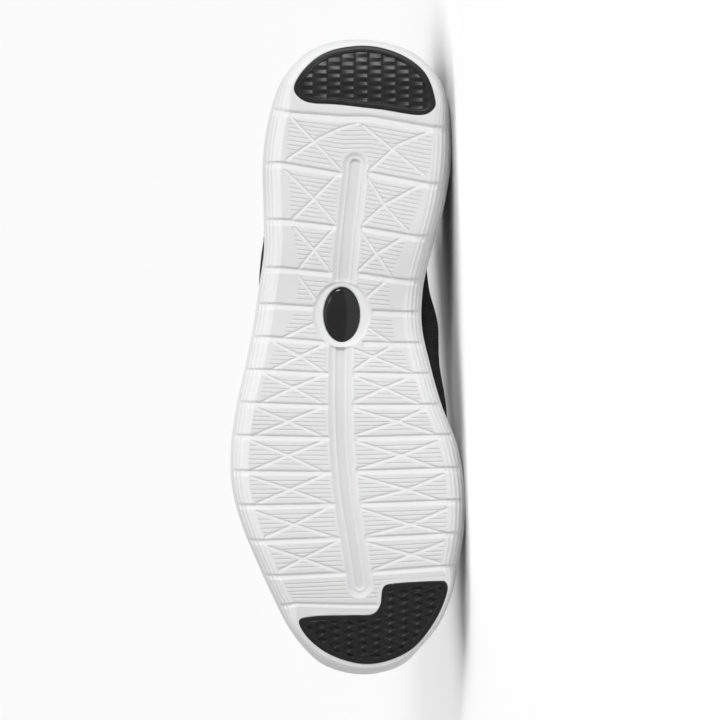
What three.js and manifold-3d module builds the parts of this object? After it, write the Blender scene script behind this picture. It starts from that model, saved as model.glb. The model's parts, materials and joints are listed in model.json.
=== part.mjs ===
// A left dance sneaker with a knitted upper, lying on its inner side. Millimetres, +Z up.
// It is built standing: X runs from heel to toe, +Y is the outer side of the foot, Z is up.
import * as THREE from "three";
import { ConvexHull } from "three/addons/math/ConvexHull.js";
import { mergeVertices } from "three/addons/utils/BufferGeometryUtils.js";
import Module from "manifold-3d";

const wasm = await Module();
wasm.setup();

// Driving dimensions
const length = 270;
const ballWidth = 99.5;
const instepHeight = 76;
const heelSeat = 22;
const heelRim = 34;
const heelBevel = 4;
const archRise = 3;
const archSideLift = 4;
const toeSpring = 14;
const wallFlare = 4.6;
const rimLean = 1.8;
const rimInset = 4.6;
const archBulge = 5;
const featherTuck = 3.5;
const upperWall = 2.5;
const eyestayStep = 0.9;
const cuffStep = 1.2;
const cuffHeight = 13;
const clearance = 0.3;
const insoleThickness = 4;
const tongueThickness = 4;
const tongueWidth = 56;
const tongueRise = 24;
const tongueTuck = 12;
const tongueCorner = 9;
const throatWidth = 24;
const throatReach = 30;
const eyestayWidth = 17;
const topEyeletInset = 8;
const eyeletCount = 5;
const eyeletDiameter = 4;
const laceWidth = 6;
const laceThickness = 1.4;
const grooveMargin = 1;
const cutBelow = 3;
const flexWidth = 2.4;
const flexDepth = 1.3;
const troughWidth = 10.6;
const troughDepth = 0.9;
const slotWidth = 5.2;
const slotDepth = 2.2;
const podProud = 0.5;
const podDepth = 2;
const badgeLength = 23.6;
const badgeWidth = 15.4;
const badgeDome = 1.3;
const badgeSeat = 1.6;
const badgeRingWidth = 4.2;
const badgeRingDepth = 1.1;

// The sole from below. at is a share of the length from the heel; lateral and medial are the widest
// lines of the wall on the outer and inner side, as shares of the ball width from the long axis.
// overLateral and overMedial place the widest line of the upper against them: -1 is the rim's inset
// inside the wall, and 1 the full bulge of the arch beyond it.
const outlineRows = [
  { at: 0.0, lateral: 0.0, medial: 0.0, overLateral: -1, overMedial: -1 },
  { at: 0.012, lateral: 0.163, medial: 0.198, overLateral: -1, overMedial: -1 },
  { at: 0.035, lateral: 0.25, medial: 0.298, overLateral: -1, overMedial: -1 },
  { at: 0.07, lateral: 0.321, medial: 0.37, overLateral: -1, overMedial: -1 },
  { at: 0.12, lateral: 0.366, medial: 0.405, overLateral: -1, overMedial: -1 },
  { at: 0.19, lateral: 0.394, medial: 0.409, overLateral: -1, overMedial: -1 },
  { at: 0.27, lateral: 0.391, medial: 0.375, overLateral: -0.4, overMedial: -0.9 },
  { at: 0.335, lateral: 0.389, medial: 0.325, overLateral: 0.25, overMedial: -0.35 },
  { at: 0.39, lateral: 0.41, medial: 0.297, overLateral: 0.05, overMedial: 0.45 },
  { at: 0.45, lateral: 0.434, medial: 0.305, overLateral: -0.7, overMedial: 0.97 },
  { at: 0.51, lateral: 0.466, medial: 0.34, overLateral: -1, overMedial: 0.42 },
  { at: 0.575, lateral: 0.505, medial: 0.385, overLateral: -1, overMedial: 0.08 },
  { at: 0.64, lateral: 0.529, medial: 0.436, overLateral: -1, overMedial: -0.75 },
  { at: 0.7, lateral: 0.526, medial: 0.465, overLateral: -1, overMedial: -1 },
  { at: 0.76, lateral: 0.486, medial: 0.467, overLateral: -1, overMedial: -1 },
  { at: 0.82, lateral: 0.42, medial: 0.443, overLateral: -1, overMedial: -1 },
  { at: 0.875, lateral: 0.353, medial: 0.41, overLateral: -1, overMedial: -1 },
  { at: 0.92, lateral: 0.292, medial: 0.358, overLateral: -1, overMedial: -1 },
  { at: 0.955, lateral: 0.225, medial: 0.284, overLateral: -1, overMedial: -1 },
  { at: 0.985, lateral: 0.132, medial: 0.198, overLateral: -1, overMedial: -1 },
  { at: 1.0, lateral: -0.036, medial: 0.036, overLateral: -1, overMedial: -1 },
];

// Heights along the shoe. seat is the footbed as a share of the heel seat, rim the top of the wall
// as a share of the heel rim, and bulge and ridge the widest line and the top line of the upper as
// shares of the instep height. square is the exponent of the upper's section.
const heightRows = [
  { at: 0.0, seat: 1.05, rim: 1.12, bulge: 0.48, ridge: 1.48, square: 2.7 },
  { at: 0.1, seat: 1.0, rim: 1.0, bulge: 0.47, ridge: 1.48, square: 2.7 },
  { at: 0.2, seat: 0.98, rim: 0.92, bulge: 0.47, ridge: 1.45, square: 2.7 },
  { at: 0.3, seat: 0.95, rim: 0.83, bulge: 0.48, ridge: 1.32, square: 2.4 },
  { at: 0.37, seat: 0.9, rim: 0.77, bulge: 0.49, ridge: 1.17, square: 2.15 },
  { at: 0.46, seat: 0.82, rim: 0.71, bulge: 0.48, ridge: 1.0, square: 2.0 },
  { at: 0.56, seat: 0.69, rim: 0.67, bulge: 0.43, ridge: 0.85, square: 2.0 },
  { at: 0.66, seat: 0.6, rim: 0.64, bulge: 0.37, ridge: 0.73, square: 2.1 },
  { at: 0.76, seat: 0.58, rim: 0.65, bulge: 0.35, ridge: 0.645, square: 2.25 },
  { at: 0.86, seat: 0.65, rim: 0.73, bulge: 0.365, ridge: 0.585, square: 2.4 },
  { at: 0.94, seat: 0.79, rim: 0.85, bulge: 0.4, ridge: 0.56, square: 2.5 },
  { at: 1.0, seat: 0.96, rim: 0.97, bulge: 0.43, ridge: 0.56, square: 2.5 },
];

// The stepped side wall from the tread's edge to the rim. inset is a share of the flare inside the
// widest line, up a share of the wall's height above the tread.
const wallRows = [
  { inset: 1.0, up: 0.0 },
  { inset: 0.72, up: 0.13 },
  { inset: 0.5, up: 0.17 },
  { inset: 0.4, up: 0.33 },
  { inset: 0.19, up: 0.37 },
  { inset: 0.1, up: 0.54 },
  { inset: 0.0, up: 0.6 },
];

// The collar's edge seen from the side: at along the length, height as a share of the instep height.
const collarRows = [
  { at: -0.03, height: 1.09 },
  { at: 0.02, height: 1.07 },
  { at: 0.07, height: 0.99 },
  { at: 0.13, height: 0.89 },
  { at: 0.2, height: 0.845 },
  { at: 0.27, height: 0.87 },
  { at: 0.33, height: 0.97 },
  { at: 0.375, height: 1.12 },
  { at: 0.4, height: 1.3 },
];

// The middle line of the centre channel: across is a share of the ball width towards the inner side.
const channelRows = [
  { at: 0.184, across: 0.004 },
  { at: 0.24, across: -0.011 },
  { at: 0.3325, across: -0.038 },
  { at: 0.433, across: -0.057 },
  { at: 0.568, across: -0.064 },
  { at: 0.646, across: -0.057 },
  { at: 0.725, across: -0.037 },
  { at: 0.803, across: -0.002 },
  { at: 0.868, across: 0.024 },
];

// Flex grooves across the tread, heel first: from the wall (edge) to the channel (middle), as
// shares of the length. The first pair meets in one groove right across.
const lateralFlexRows = [
  { edge: 0.1145, middle: 0.1271 },
  { edge: 0.1992, middle: 0.2149 },
  { edge: 0.2886, middle: 0.298 },
  { edge: 0.3639, middle: 0.371 },
  { edge: 0.4204, middle: 0.4251 },
  { edge: 0.4714, middle: 0.4784 },
  { edge: 0.5224, middle: 0.5271 },
  { edge: 0.5741, middle: 0.5773 },
  { edge: 0.6251, middle: 0.6275 },
  { edge: 0.6808, middle: 0.6816 },
  { edge: 0.7341, middle: 0.7318 },
  { edge: 0.789, middle: 0.7843 },
  { edge: 0.8439, middle: 0.8392 },
];
const medialFlexRows = [
  { edge: 0.1443, middle: 0.1271 },
  { edge: 0.2322, middle: 0.2133 },
  { edge: 0.3145, middle: 0.2996 },
  { edge: 0.3827, middle: 0.3718 },
  { edge: 0.4322, middle: 0.429 },
  { edge: 0.4808, middle: 0.4784 },
  { edge: 0.5286, middle: 0.5263 },
  { edge: 0.5773, middle: 0.5765 },
  { edge: 0.6243, middle: 0.6275 },
  { edge: 0.6761, middle: 0.68 },
  { edge: 0.7263, middle: 0.731 },
  { edge: 0.778, middle: 0.7843 },
  { edge: 0.829, middle: 0.8376 },
];
const badgeRowIndex = 4;
const lastFlexAt = 0.891;
const lastFlexEnd = 0.06;

// Outlines of the two rubber inserts, in the same shares.
const heelPodRows = [
  { at: 0.082, across: -0.26 },
  { at: 0.058, across: -0.234 },
  { at: 0.028, across: -0.149 },
  { at: 0.015, across: -0.043 },
  { at: 0.014, across: 0.085 },
  { at: 0.03, across: 0.213 },
  { at: 0.056, across: 0.298 },
  { at: 0.094, across: 0.341 },
  { at: 0.11, across: 0.345 },
  { at: 0.124, across: 0.287 },
  { at: 0.1145, across: 0.106 },
  { at: 0.1075, across: -0.064 },
  { at: 0.101, across: -0.223 },
];
const toePodRows = [
  { at: 0.912, across: -0.238 },
  { at: 0.906, across: -0.183 },
  { at: 0.904, across: -0.021 },
  { at: 0.901, across: 0.081 },
  { at: 0.886, across: 0.108 },
  { at: 0.863, across: 0.12 },
  { at: 0.853, across: 0.175 },
  { at: 0.85, across: 0.362 },
  { at: 0.863, across: 0.386 },
  { at: 0.91, across: 0.345 },
  { at: 0.96, across: 0.234 },
  { at: 0.982, across: 0.064 },
  { at: 0.967, across: -0.106 },
  { at: 0.935, across: -0.213 },
];

// Shares of the length where the tread bends away from the ground.
const bevelEnd = 0.075;
const archFrom = 0.29;
const archTo = 0.6;
const springFrom = 0.77;
// Ends of the middle line that the outline fans out from, for the sole and for the upper.
const soleSpine = { heel: 0.13, toe: 0.87 };
const upperSpine = { heel: 0.15, toe: 0.86 };
const sideSteps = 27;
const insertSteps = 20;

// Shares of the sizes that they follow
const frontEyeletShare = 0.55;
const eyeletAcrossShare = 0.42;
const throatFrontShare = 0.4;
const stayFrontShare = 0.8;
const tongueFrontShare = 0.62;
const badgeEdgeShare = 0.4;
const ringMeetShare = 0.6;

// Materials, with densities in kilograms per cubic metre for the balance of the lying shoe.
const foam = { color: 0xf2f1ee, roughness: 0.7, density: 300 };
const rubber = { color: 0x17171a, roughness: 0.45, density: 1100 };
const gloss = { color: 0x0c0c0e, roughness: 0.15, density: 1050 };
const knit = { color: 0x1b1b1d, roughness: 0.9, density: 450 };
const padding = { color: 0x2a2a2c, roughness: 0.95, density: 200 };
const cord = { color: 0x141416, roughness: 0.85, density: 600 };

// Smooth value of one column of a table at a share of the length
function read(rows, column, at) {
  const last = rows.length - 1;
  let i = 0;
  while (i < last - 1 && rows[i + 1].at < at) i += 1;
  const slope = (k) => {
    const a = rows[Math.max(k - 1, 0)];
    const b = rows[Math.min(k + 1, last)];
    return (b[column] - a[column]) / (b.at - a.at);
  };
  const [from, to] = [rows[i], rows[i + 1]];
  const span = to.at - from.at;
  const t = THREE.MathUtils.clamp((at - from.at) / span, 0, 1);
  const bend = t * t * (3 - 2 * t);
  const start = (t * t * t - 2 * t * t + t) * span * slope(i);
  const end = (t * t * t - t * t) * span * slope(i + 1);
  return from[column] * (1 - bend) + to[column] * bend + start + end;
}

// Closed plan curve through the points of both sides, starting at the heel
function planCurve(lateralPoints, medialPoints) {
  const loop = [...lateralPoints, ...medialPoints.slice(1, -1).reverse()];
  return new THREE.CatmullRomCurve3(loop, true, "centripetal");
}
const wallPoint = (row, across) => new THREE.Vector3(row.at * length, across * ballWidth, 0);
const wallCurve = planCurve(
  outlineRows.map((row) => wallPoint(row, row.lateral)),
  outlineRows.map((row) => wallPoint(row, -row.medial)),
);

// Plan points of the widest line of the wall, at the same steps along either side
function wallPlan(step, side) {
  const share = step / (2 * sideSteps);
  return wallCurve.getPoint(side > 0 ? share : (1 - share) % 1);
}

// Where a side's widest line lies across the shoe at a place along it
const wallSamples = { 1: [], [-1]: [] };
for (const side of [1, -1]) {
  for (let step = 0; step <= sideSteps; step += 1) wallSamples[side].push(wallPlan(step, side));
}
function wallAcross(x, side) {
  const samples = wallSamples[side];
  let i = 0;
  while (i < samples.length - 2 && samples[i + 1].x < x) i += 1;
  const t = THREE.MathUtils.clamp((x - samples[i].x) / (samples[i + 1].x - samples[i].x), 0, 1);
  return THREE.MathUtils.lerp(samples[i].y, samples[i + 1].y, t);
}

// One column of the sole or upper: its plan point on the widest line, its foot on the middle line,
// and the plan direction outwards
function columnAt(step, side, ends) {
  const edge = wallPlan(step, side);
  const other = wallPlan(step, -side);
  const x = THREE.MathUtils.clamp((edge.x + other.x) / 2, ends.heel * length, ends.toe * length);
  const middle = (wallAcross(x, 1) + wallAcross(x, -1)) / 2;
  const spine = new THREE.Vector3(x, middle, 0);
  const out = edge.clone().sub(spine).normalize();
  return { edge, spine, out, side, at: edge.x / length };
}

// Underside of the sole: heel bevel, arch and toe spring
function treadHeight(x, y) {
  const at = x / length;
  const middle = (wallAcross(x, 1) + wallAcross(x, -1)) / 2;
  const half = Math.max((wallAcross(x, 1) - wallAcross(x, -1)) / 2, 1);
  const inward = THREE.MathUtils.smoothstep((middle - y) / half, 0.35, 1.1);
  const bevel = heelBevel * Math.max(0, 1 - at / bevelEnd) ** 2;
  const along = THREE.MathUtils.clamp((at - archFrom) / (archTo - archFrom), 0, 1);
  const arch = Math.sin(Math.PI * along) ** 2 * (archRise + archSideLift * inward);
  const spring = toeSpring * (Math.max(0, at - springFrom) / (1 - springFrom)) ** 2;
  return bevel + arch + spring;
}
const seatHeight = (at) => heelSeat * read(heightRows, "seat", at);
const rimHeight = (at) => heelRim * read(heightRows, "rim", at);

// Solid for cutting and joining, from a geometry with merged corners
function toSolid(geometry) {
  geometry.deleteAttribute("normal");
  geometry.deleteAttribute("uv");
  const merged = mergeVertices(geometry, 1e-4);
  const corners = [];
  const index = merged.getIndex().array;
  for (let i = 0; i < index.length; i += 3) {
    const [a, b, c] = [index[i], index[i + 1], index[i + 2]];
    if (a !== b && b !== c && c !== a) corners.push(a, b, c);
  }
  const vertProperties = new Float32Array(merged.getAttribute("position").array);
  const triVerts = new Uint32Array(corners);
  return new wasm.Manifold(new wasm.Mesh({ numProp: 3, vertProperties, triVerts }));
}

// Geometry with flat faces, from a finished solid
function toGeometry(solid) {
  const { vertProperties, triVerts } = solid.getMesh();
  const geometry = new THREE.BufferGeometry();
  geometry.setAttribute("position", new THREE.BufferAttribute(vertProperties, 3));
  geometry.setIndex(new THREE.BufferAttribute(triVerts, 1));
  return geometry;
}

// Geometry from rows of points and the triangles between them
function meshOf(points, corners) {
  const geometry = new THREE.BufferGeometry().setFromPoints(points);
  geometry.setIndex(corners);
  return geometry;
}

// Closed form around the shoe: every column is a line of points from the middle line below, out and
// up over the side, to the middle line above
function wrap(ends, profile) {
  const columns = [];
  for (let step = 0; step <= sideSteps; step += 1) columns.push(profile(columnAt(step, 1, ends)));
  for (let step = sideSteps - 1; step > 0; step -= 1) columns.push(profile(columnAt(step, -1, ends)));
  const rows = columns[0].length;
  const corners = [];
  for (let c = 0; c < columns.length; c += 1) {
    const here = c * rows;
    const next = ((c + 1) % columns.length) * rows;
    for (let r = 0; r < rows - 1; r += 1) {
      corners.push(here + r, here + r + 1, next + r + 1);
      corners.push(here + r, next + r + 1, next + r);
    }
  }
  return toSolid(meshOf(columns.flat(), corners));
}

// Closed bar through rings of points, its ends closed flat
function bar(rings) {
  const count = rings[0].length;
  const corners = [];
  for (let k = 0; k < rings.length - 1; k += 1) {
    for (let i = 0; i < count; i += 1) {
      const [a, b] = [k * count + i, k * count + ((i + 1) % count)];
      corners.push(a, b, b + count, a, b + count, a + count);
    }
  }
  const last = (rings.length - 1) * count;
  for (let i = 1; i < count - 1; i += 1) {
    corners.push(0, i + 1, i);
    corners.push(last, last + i, last + i + 1);
  }
  return toSolid(meshOf(rings.flat(), corners));
}

// Upright prism over a plan outline, between two heights
function prism(outline, from, to) {
  const geometry = new THREE.ExtrudeGeometry(new THREE.Shape(outline), {
    depth: to - from,
    bevelEnabled: false,
  });
  geometry.translate(0, 0, from);
  return toSolid(geometry);
}

// Closed smooth plan outline of a table, moved outwards by a margin
function insertOutline(rows, margin) {
  const points = rows.map((row) => wallPoint(row, -row.across));
  const curve = new THREE.CatmullRomCurve3(points, true, "centripetal");
  const count = insertSteps;
  const outline = [];
  for (let i = 0; i < count; i += 1) {
    const point = curve.getPoint(i / count);
    const tangent = curve.getTangent(i / count);
    outline.push(new THREE.Vector2(point.x + tangent.y * margin, point.y - tangent.x * margin));
  }
  return outline;
}

function ellipseOutline(center, halfLength, halfWidth, count) {
  const outline = [];
  for (let i = 0; i < count; i += 1) {
    const angle = (2 * Math.PI * i) / count;
    const x = center.x + halfLength * Math.cos(angle);
    outline.push(new THREE.Vector2(x, center.y + halfWidth * Math.sin(angle)));
  }
  return outline;
}

// Layer that follows the underside, from one distance above it to another
function treadLayer(from, to) {
  return wrap(soleSpine, ({ edge, spine, out }) => {
    const reach = edge.distanceTo(spine);
    const places = [0, 0.5, 1].map((share) => spine.clone().addScaledVector(out, share * reach));
    const lift = (rise) => places.map((p) => new THREE.Vector3(p.x, p.y, treadHeight(p.x, p.y) + rise));
    return [...lift(from), ...lift(to).reverse()];
  });
}

// Body of the sole, with its stepped wall and a plain top that the foot's form is sunk into
function soleBody() {
  return wrap(soleSpine, ({ edge, spine, out, at }) => {
    const reach = edge.distanceTo(spine);
    const flat = reach - wallFlare;
    const place = (distance, z) => spine.clone().addScaledVector(out, distance).setZ(z);
    const below = [0, 0.55].map((share) => {
      const p = place(share * flat, 0);
      return p.setZ(treadHeight(p.x, p.y));
    });
    const foot = place(flat, 0);
    const base = treadHeight(foot.x, foot.y);
    const rim = rimHeight(at);
    const wall = wallRows.map((row) => place(reach - row.inset * wallFlare, base + row.up * (rim - base)));
    const top = place(reach - rimLean, rim);
    return [...below, ...wall, top, spine.clone().setZ(rimHeight(spine.x / length))];
  });
}

// Highest point that a groove reaches: a little above the tread, and along the flare of the wall a
// little behind its face
function grooveRoof(x, y, depth) {
  const inset = Math.min(wallAcross(x, 1) - y, y - wallAcross(x, -1)) - depth;
  const base = treadHeight(x, y);
  const rim = rimHeight(x / length);
  const share = THREE.MathUtils.clamp(inset / wallFlare, 0, 1);
  let i = 0;
  while (i < wallRows.length - 2 && wallRows[i + 1].inset > share) i += 1;
  const [low, high] = [wallRows[i], wallRows[i + 1]];
  const t = THREE.MathUtils.clamp((low.inset - share) / (low.inset - high.inset || 1), 0, 1);
  return base + THREE.MathUtils.lerp(low.up, high.up, t) * (rim - base) + depth;
}

// Groove along plan points, with sloping flanks and narrowed ends
function groove(points, width, depth) {
  const below = 1.2;
  const floorShare = 0.55;
  const endShare = 0.45;
  const rings = points.map((point, i) => {
    const before = points[Math.max(i - 1, 0)];
    const after = points[Math.min(i + 1, points.length - 1)];
    const along = after.clone().sub(before).normalize();
    const across = new THREE.Vector2(-along.y, along.x);
    const end = i === 0 || i === points.length - 1;
    const half = (width / 2) * (end ? endShare : 1) * (1 + 0.25 * (below / depth));
    const corner = (share, roof) => {
      const p = point.clone().addScaledVector(across, share * half);
      const z = roof ? grooveRoof(p.x, p.y, depth) : treadHeight(p.x, p.y) - below;
      return new THREE.Vector3(p.x, p.y, z);
    };
    return [corner(-1, false), corner(1, false), corner(floorShare, true), corner(-floorShare, true)];
  });
  return bar(rings);
}

// Plan points from start to end, denser towards both ends so that they are round
function groovePoints(start, end, width, steps) {
  const run = start.distanceTo(end);
  const points = [start, start.clone().lerp(end, (0.5 * width) / run)];
  for (let i = 1; i < steps; i += 1) points.push(start.clone().lerp(end, i / steps));
  points.push(end.clone().lerp(start, (0.5 * width) / run), end);
  return points;
}

const channelAcross = (at) => -ballWidth * read(channelRows, "across", at);
const badgeAt = channelRows[3].at;
const badgeCenter = new THREE.Vector2(badgeAt * length, channelAcross(badgeAt));
const ringHalfLength = badgeLength / 2 + badgeRingWidth / 2;
const ringHalfWidth = badgeWidth / 2 + badgeRingWidth;

// Flex groove from beyond the wall's face to the channel or to the badge's ring
function flexGroove(row, index, side) {
  const edgeX = row.edge * length;
  const middleX = row.middle * length;
  const start = new THREE.Vector2(edgeX, wallAcross(edgeX, side) + side * grooveMargin);
  const half = index === badgeRowIndex ? ringHalfWidth : troughWidth / 2;
  const stop = index === 0 ? -side * grooveMargin : side * (half - grooveMargin);
  const end = new THREE.Vector2(middleX, channelAcross(row.middle) + stop);
  const shoulder = start.clone().lerp(end, (1.6 * wallFlare) / start.distanceTo(end));
  const points = [start, shoulder, shoulder.clone().lerp(end, 0.5)];
  points.push(end.clone().lerp(start, (0.5 * flexWidth) / start.distanceTo(end)), end);
  return groove(points, flexWidth, flexDepth);
}

// One depth of the centre channel, in two stretches that end in the badge's ring
function channelGroove(width, depth) {
  const [first, last] = [channelRows[0].at, channelRows[channelRows.length - 1].at];
  const shrink = (troughWidth - width) / 2 / length;
  const ring = ringHalfLength / length;
  const stretch = (from, to, steps) => {
    const half = width / 2 / length;
    const places = [from, from + 0.4 * half];
    for (let i = 1; i < steps; i += 1) places.push(THREE.MathUtils.lerp(from, to, i / steps));
    places.push(to - 0.4 * half, to);
    return places.map((at) => new THREE.Vector2(at * length, channelAcross(at)));
  };
  const heelPart = groove(stretch(first + shrink, badgeAt - ringMeetShare * ring, 3), width, depth);
  const toePart = groove(stretch(badgeAt + ringMeetShare * ring, last - shrink, 6), width, depth);
  return heelPart.add(toePart);
}

// Widest line and section of the upper. A positive inset moves the whole skin inwards.
function upperColumn(column, inset) {
  const { edge, spine, out, side, at } = column;
  const over = read(outlineRows, side > 0 ? "overLateral" : "overMedial", at);
  const reach = edge.distanceTo(spine) + over * (over < 0 ? rimInset : archBulge) - inset;
  const feather = reach - featherTuck - Math.max(over, 0) * archBulge;
  const bulgeZ = instepHeight * read(heightRows, "bulge", at);
  const ridgeZ = instepHeight * read(heightRows, "ridge", spine.x / length) - inset;
  const square = read(heightRows, "square", at);
  const place = (distance, z) => spine.clone().addScaledVector(out, distance).setZ(z);
  return { reach, feather, bulgeZ, ridgeZ, square, place, seat: seatHeight(at), spine };
}

// The lower side of the upper from the feather edge to the widest line
function lowerSide(column, share) {
  const turn = (share * Math.PI) / 2;
  const { feather, reach, seat, bulgeZ } = column;
  const distance = THREE.MathUtils.lerp(feather, reach, Math.sin(turn));
  return column.place(distance, seat + (bulgeZ - seat) * (1 - Math.cos(turn)));
}

// Footbed under a column of the upper, from the middle line to halfway to the feather edge
function footbed(section, drop) {
  const { feather, place, seat, spine } = section;
  const middle = seatHeight(spine.x / length) - drop;
  return [spine.clone().setZ(middle), place(feather * 0.5, THREE.MathUtils.lerp(middle, seat - drop, 0.5))];
}

// Closed form of the lasted upper, with its skin moved inwards and its floor let down
function lastForm(inset, drop) {
  const lowShares = [0, 0.4, 1];
  const highShares = [0.22, 0.41, 0.58, 0.74, 0.88, 1];
  return wrap(upperSpine, (column) => {
    const section = upperColumn(column, inset);
    const { feather, reach, bulgeZ, ridgeZ, square, place, seat } = section;
    const low = lowShares.map((share) => lowerSide(section, share));
    if (drop !== 0) low.unshift(place(feather, seat - drop));
    const high = highShares.map((share) => {
      const angle = (share * Math.PI) / 2;
      const distance = share === 1 ? 0 : reach * Math.cos(angle) ** (2 / square);
      return place(distance, bulgeZ + (ridgeZ - bulgeZ) * Math.sin(angle) ** (2 / square));
    });
    return [...footbed(section, drop), ...low, ...high];
  });
}

// Height of the upper's skin over a plan point of the instep
function skinHeight(x, y, inset) {
  const at = x / length;
  const side = y > (wallAcross(x, 1) + wallAcross(x, -1)) / 2 ? 1 : -1;
  const middle = (wallAcross(x, 1) + wallAcross(x, -1)) / 2;
  const over = read(outlineRows, side > 0 ? "overLateral" : "overMedial", at);
  const grow = over * (over < 0 ? rimInset : archBulge);
  const reach = Math.abs(wallAcross(x, side) - middle) + grow - inset;
  const square = read(heightRows, "square", at);
  const bulgeZ = instepHeight * read(heightRows, "bulge", at);
  const ridgeZ = instepHeight * read(heightRows, "ridge", at) - inset;
  const share = Math.min(Math.abs(y - middle) / reach, 1);
  return bulgeZ + (ridgeZ - bulgeZ) * (1 - share ** square) ** (1 / square);
}
function skinNormal(x, y) {
  const step = 1;
  const slopeX = (skinHeight(x + step, y, 0) - skinHeight(x - step, y, 0)) / (2 * step);
  const slopeY = (skinHeight(x, y + step, 0) - skinHeight(x, y - step, 0)) / (2 * step);
  return new THREE.Vector3(-slopeX, -slopeY, 1).normalize();
}

// Throat and eyelet places along the instep
const throatFrontAt = 0.625;
const collarFrontAt = 0.385;
const throatFrontX = throatFrontAt * length;
const collarFrontX = collarFrontAt * length;
const middleAcross = (x) => (wallAcross(x, 1) + wallAcross(x, -1)) / 2;
const aboveAll = 2 * instepHeight;
const aboveSole = 1.2 * heelRim;

// Plan outline around the throat, open towards the collar: half its width, and its round front
function throatOutline(halfFront, halfBack, front, back) {
  const arcSteps = 6;
  const center = front - halfFront;
  const outline = [new THREE.Vector2(back, middleAcross(back) - halfBack)];
  for (let i = 0; i <= arcSteps; i += 1) {
    const angle = Math.PI * (i / arcSteps - 0.5);
    const x = center + halfFront * Math.cos(angle);
    outline.push(new THREE.Vector2(x, middleAcross(x) + halfFront * Math.sin(angle)));
  }
  outline.push(new THREE.Vector2(back, middleAcross(back) + halfBack));
  return outline;
}

// Everything above the collar's edge, or above a line let down below it
function aboveCollar(drop) {
  const points = collarRows.map((r) => new THREE.Vector3(r.at * length, r.height * instepHeight - drop, 0));
  const curve = new THREE.CatmullRomCurve3(points, false, "centripetal");
  const edge = curve.getPoints((collarRows.length - 1) * 3).map((p) => new THREE.Vector2(p.x, p.y));
  const last = edge[edge.length - 1];
  const outline = [...edge, new THREE.Vector2(last.x, aboveAll), new THREE.Vector2(edge[0].x, aboveAll)];
  const geometry = new THREE.ExtrudeGeometry(new THREE.Shape(outline), {
    depth: 2 * ballWidth,
    bevelEnabled: false,
  });
  geometry.translate(0, 0, -ballWidth);
  geometry.rotateX(Math.PI / 2);
  return toSolid(geometry);
}

// Eyelets in two rows beside the throat, front pair first
function eyeletPlaces() {
  const places = [];
  const [front, back] = [throatFrontX - frontEyeletShare * throatWidth, collarFrontX + topEyeletInset];
  const away = throatWidth / 2 + eyestayWidth * eyeletAcrossShare;
  for (let i = 0; i < eyeletCount; i += 1) {
    const x = THREE.MathUtils.lerp(front, back, i / (eyeletCount - 1));
    const pair = {};
    for (const side of [1, -1]) {
      const y = middleAcross(x) + side * away;
      pair[side] = { point: new THREE.Vector3(x, y, skinHeight(x, y, 0)), normal: skinNormal(x, y) };
    }
    places.push(pair);
  }
  return places;
}
const eyelets = eyeletPlaces();

function eyeletHole({ point, normal }) {
  const geometry = new THREE.CylinderGeometry(eyeletDiameter / 2, eyeletDiameter / 2, 4 * upperWall, 8);
  geometry.applyQuaternion(new THREE.Quaternion().setFromUnitVectors(new THREE.Vector3(0, 1, 0), normal));
  geometry.translate(point.x, point.y, point.z);
  return toSolid(geometry);
}

// Knitted upper: one hollow shell with a raised eyestay and a padded cuff, open at collar and throat
// and underneath
function upperSolid() {
  const skin = lastForm(0, 0);
  const throatBack = collarFrontX - throatReach;
  const eyestayFront = throatFrontX + eyestayWidth * stayFrontShare;
  const halfStay = throatWidth / 2 + eyestayWidth;
  const stayOutline = throatOutline(halfStay * stayFrontShare, halfStay, eyestayFront, throatBack);
  const stay = lastForm(-eyestayStep, 0).intersect(prism(stayOutline, aboveSole, aboveAll));
  const cuff = lastForm(-cuffStep, 0).intersect(aboveCollar(cuffHeight));
  const hollow = lastForm(upperWall, 2 * upperWall);
  const slot = prism(
    throatOutline(throatWidth * throatFrontShare, throatWidth / 2, throatFrontX, throatBack),
    aboveSole,
    aboveAll,
  );
  let solid = skin.add(stay).add(cuff).subtract(hollow).subtract(slot).subtract(aboveCollar(0));
  for (const pair of eyelets) {
    for (const side of [1, -1]) solid = solid.subtract(eyeletHole(pair[side]));
  }
  return solid;
}

// Padded tongue under the throat, following the inside of the upper and standing above the collar
function tongueSolid() {
  const outer = lastForm(upperWall + clearance, 0);
  const inner = lastForm(upperWall + clearance + tongueThickness, 0);
  const front = throatFrontX + tongueTuck;
  const back = collarFrontX - tongueRise;
  const [half, halfFront] = [tongueWidth / 2, (tongueWidth / 2) * tongueFrontShare];
  const outline = [];
  const corners = [
    [back + tongueCorner, middleAcross(back) - half + tongueCorner, Math.PI, 1.5 * Math.PI],
    [front - tongueCorner, middleAcross(front) - halfFront + tongueCorner, 1.5 * Math.PI, 2 * Math.PI],
    [front - tongueCorner, middleAcross(front) + halfFront - tongueCorner, 0, 0.5 * Math.PI],
    [back + tongueCorner, middleAcross(back) + half - tongueCorner, 0.5 * Math.PI, Math.PI],
  ];
  for (const [x, y, from, to] of corners) {
    for (let i = 0; i <= 3; i += 1) {
      const angle = THREE.MathUtils.lerp(from, to, i / 3);
      outline.push(new THREE.Vector2(x + tongueCorner * Math.cos(angle), y + tongueCorner * Math.sin(angle)));
    }
  }
  return outer.subtract(inner).intersect(prism(outline, aboveSole, aboveAll));
}

// Insole on the footbed, inside the upper
function insoleSolid() {
  return wrap(upperSpine, (column) => {
    const section = upperColumn(column, upperWall + 3 * clearance);
    const rise = insoleThickness / (section.bulgeZ - section.seat);
    const topShare = Math.acos(1 - rise) / (Math.PI / 2);
    const side = [0, 1].map((share) => lowerSide(section, share * topShare));
    return [...footbed(section, 0), ...side, ...footbed(section, -insoleThickness).reverse()];
  });
}

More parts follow.
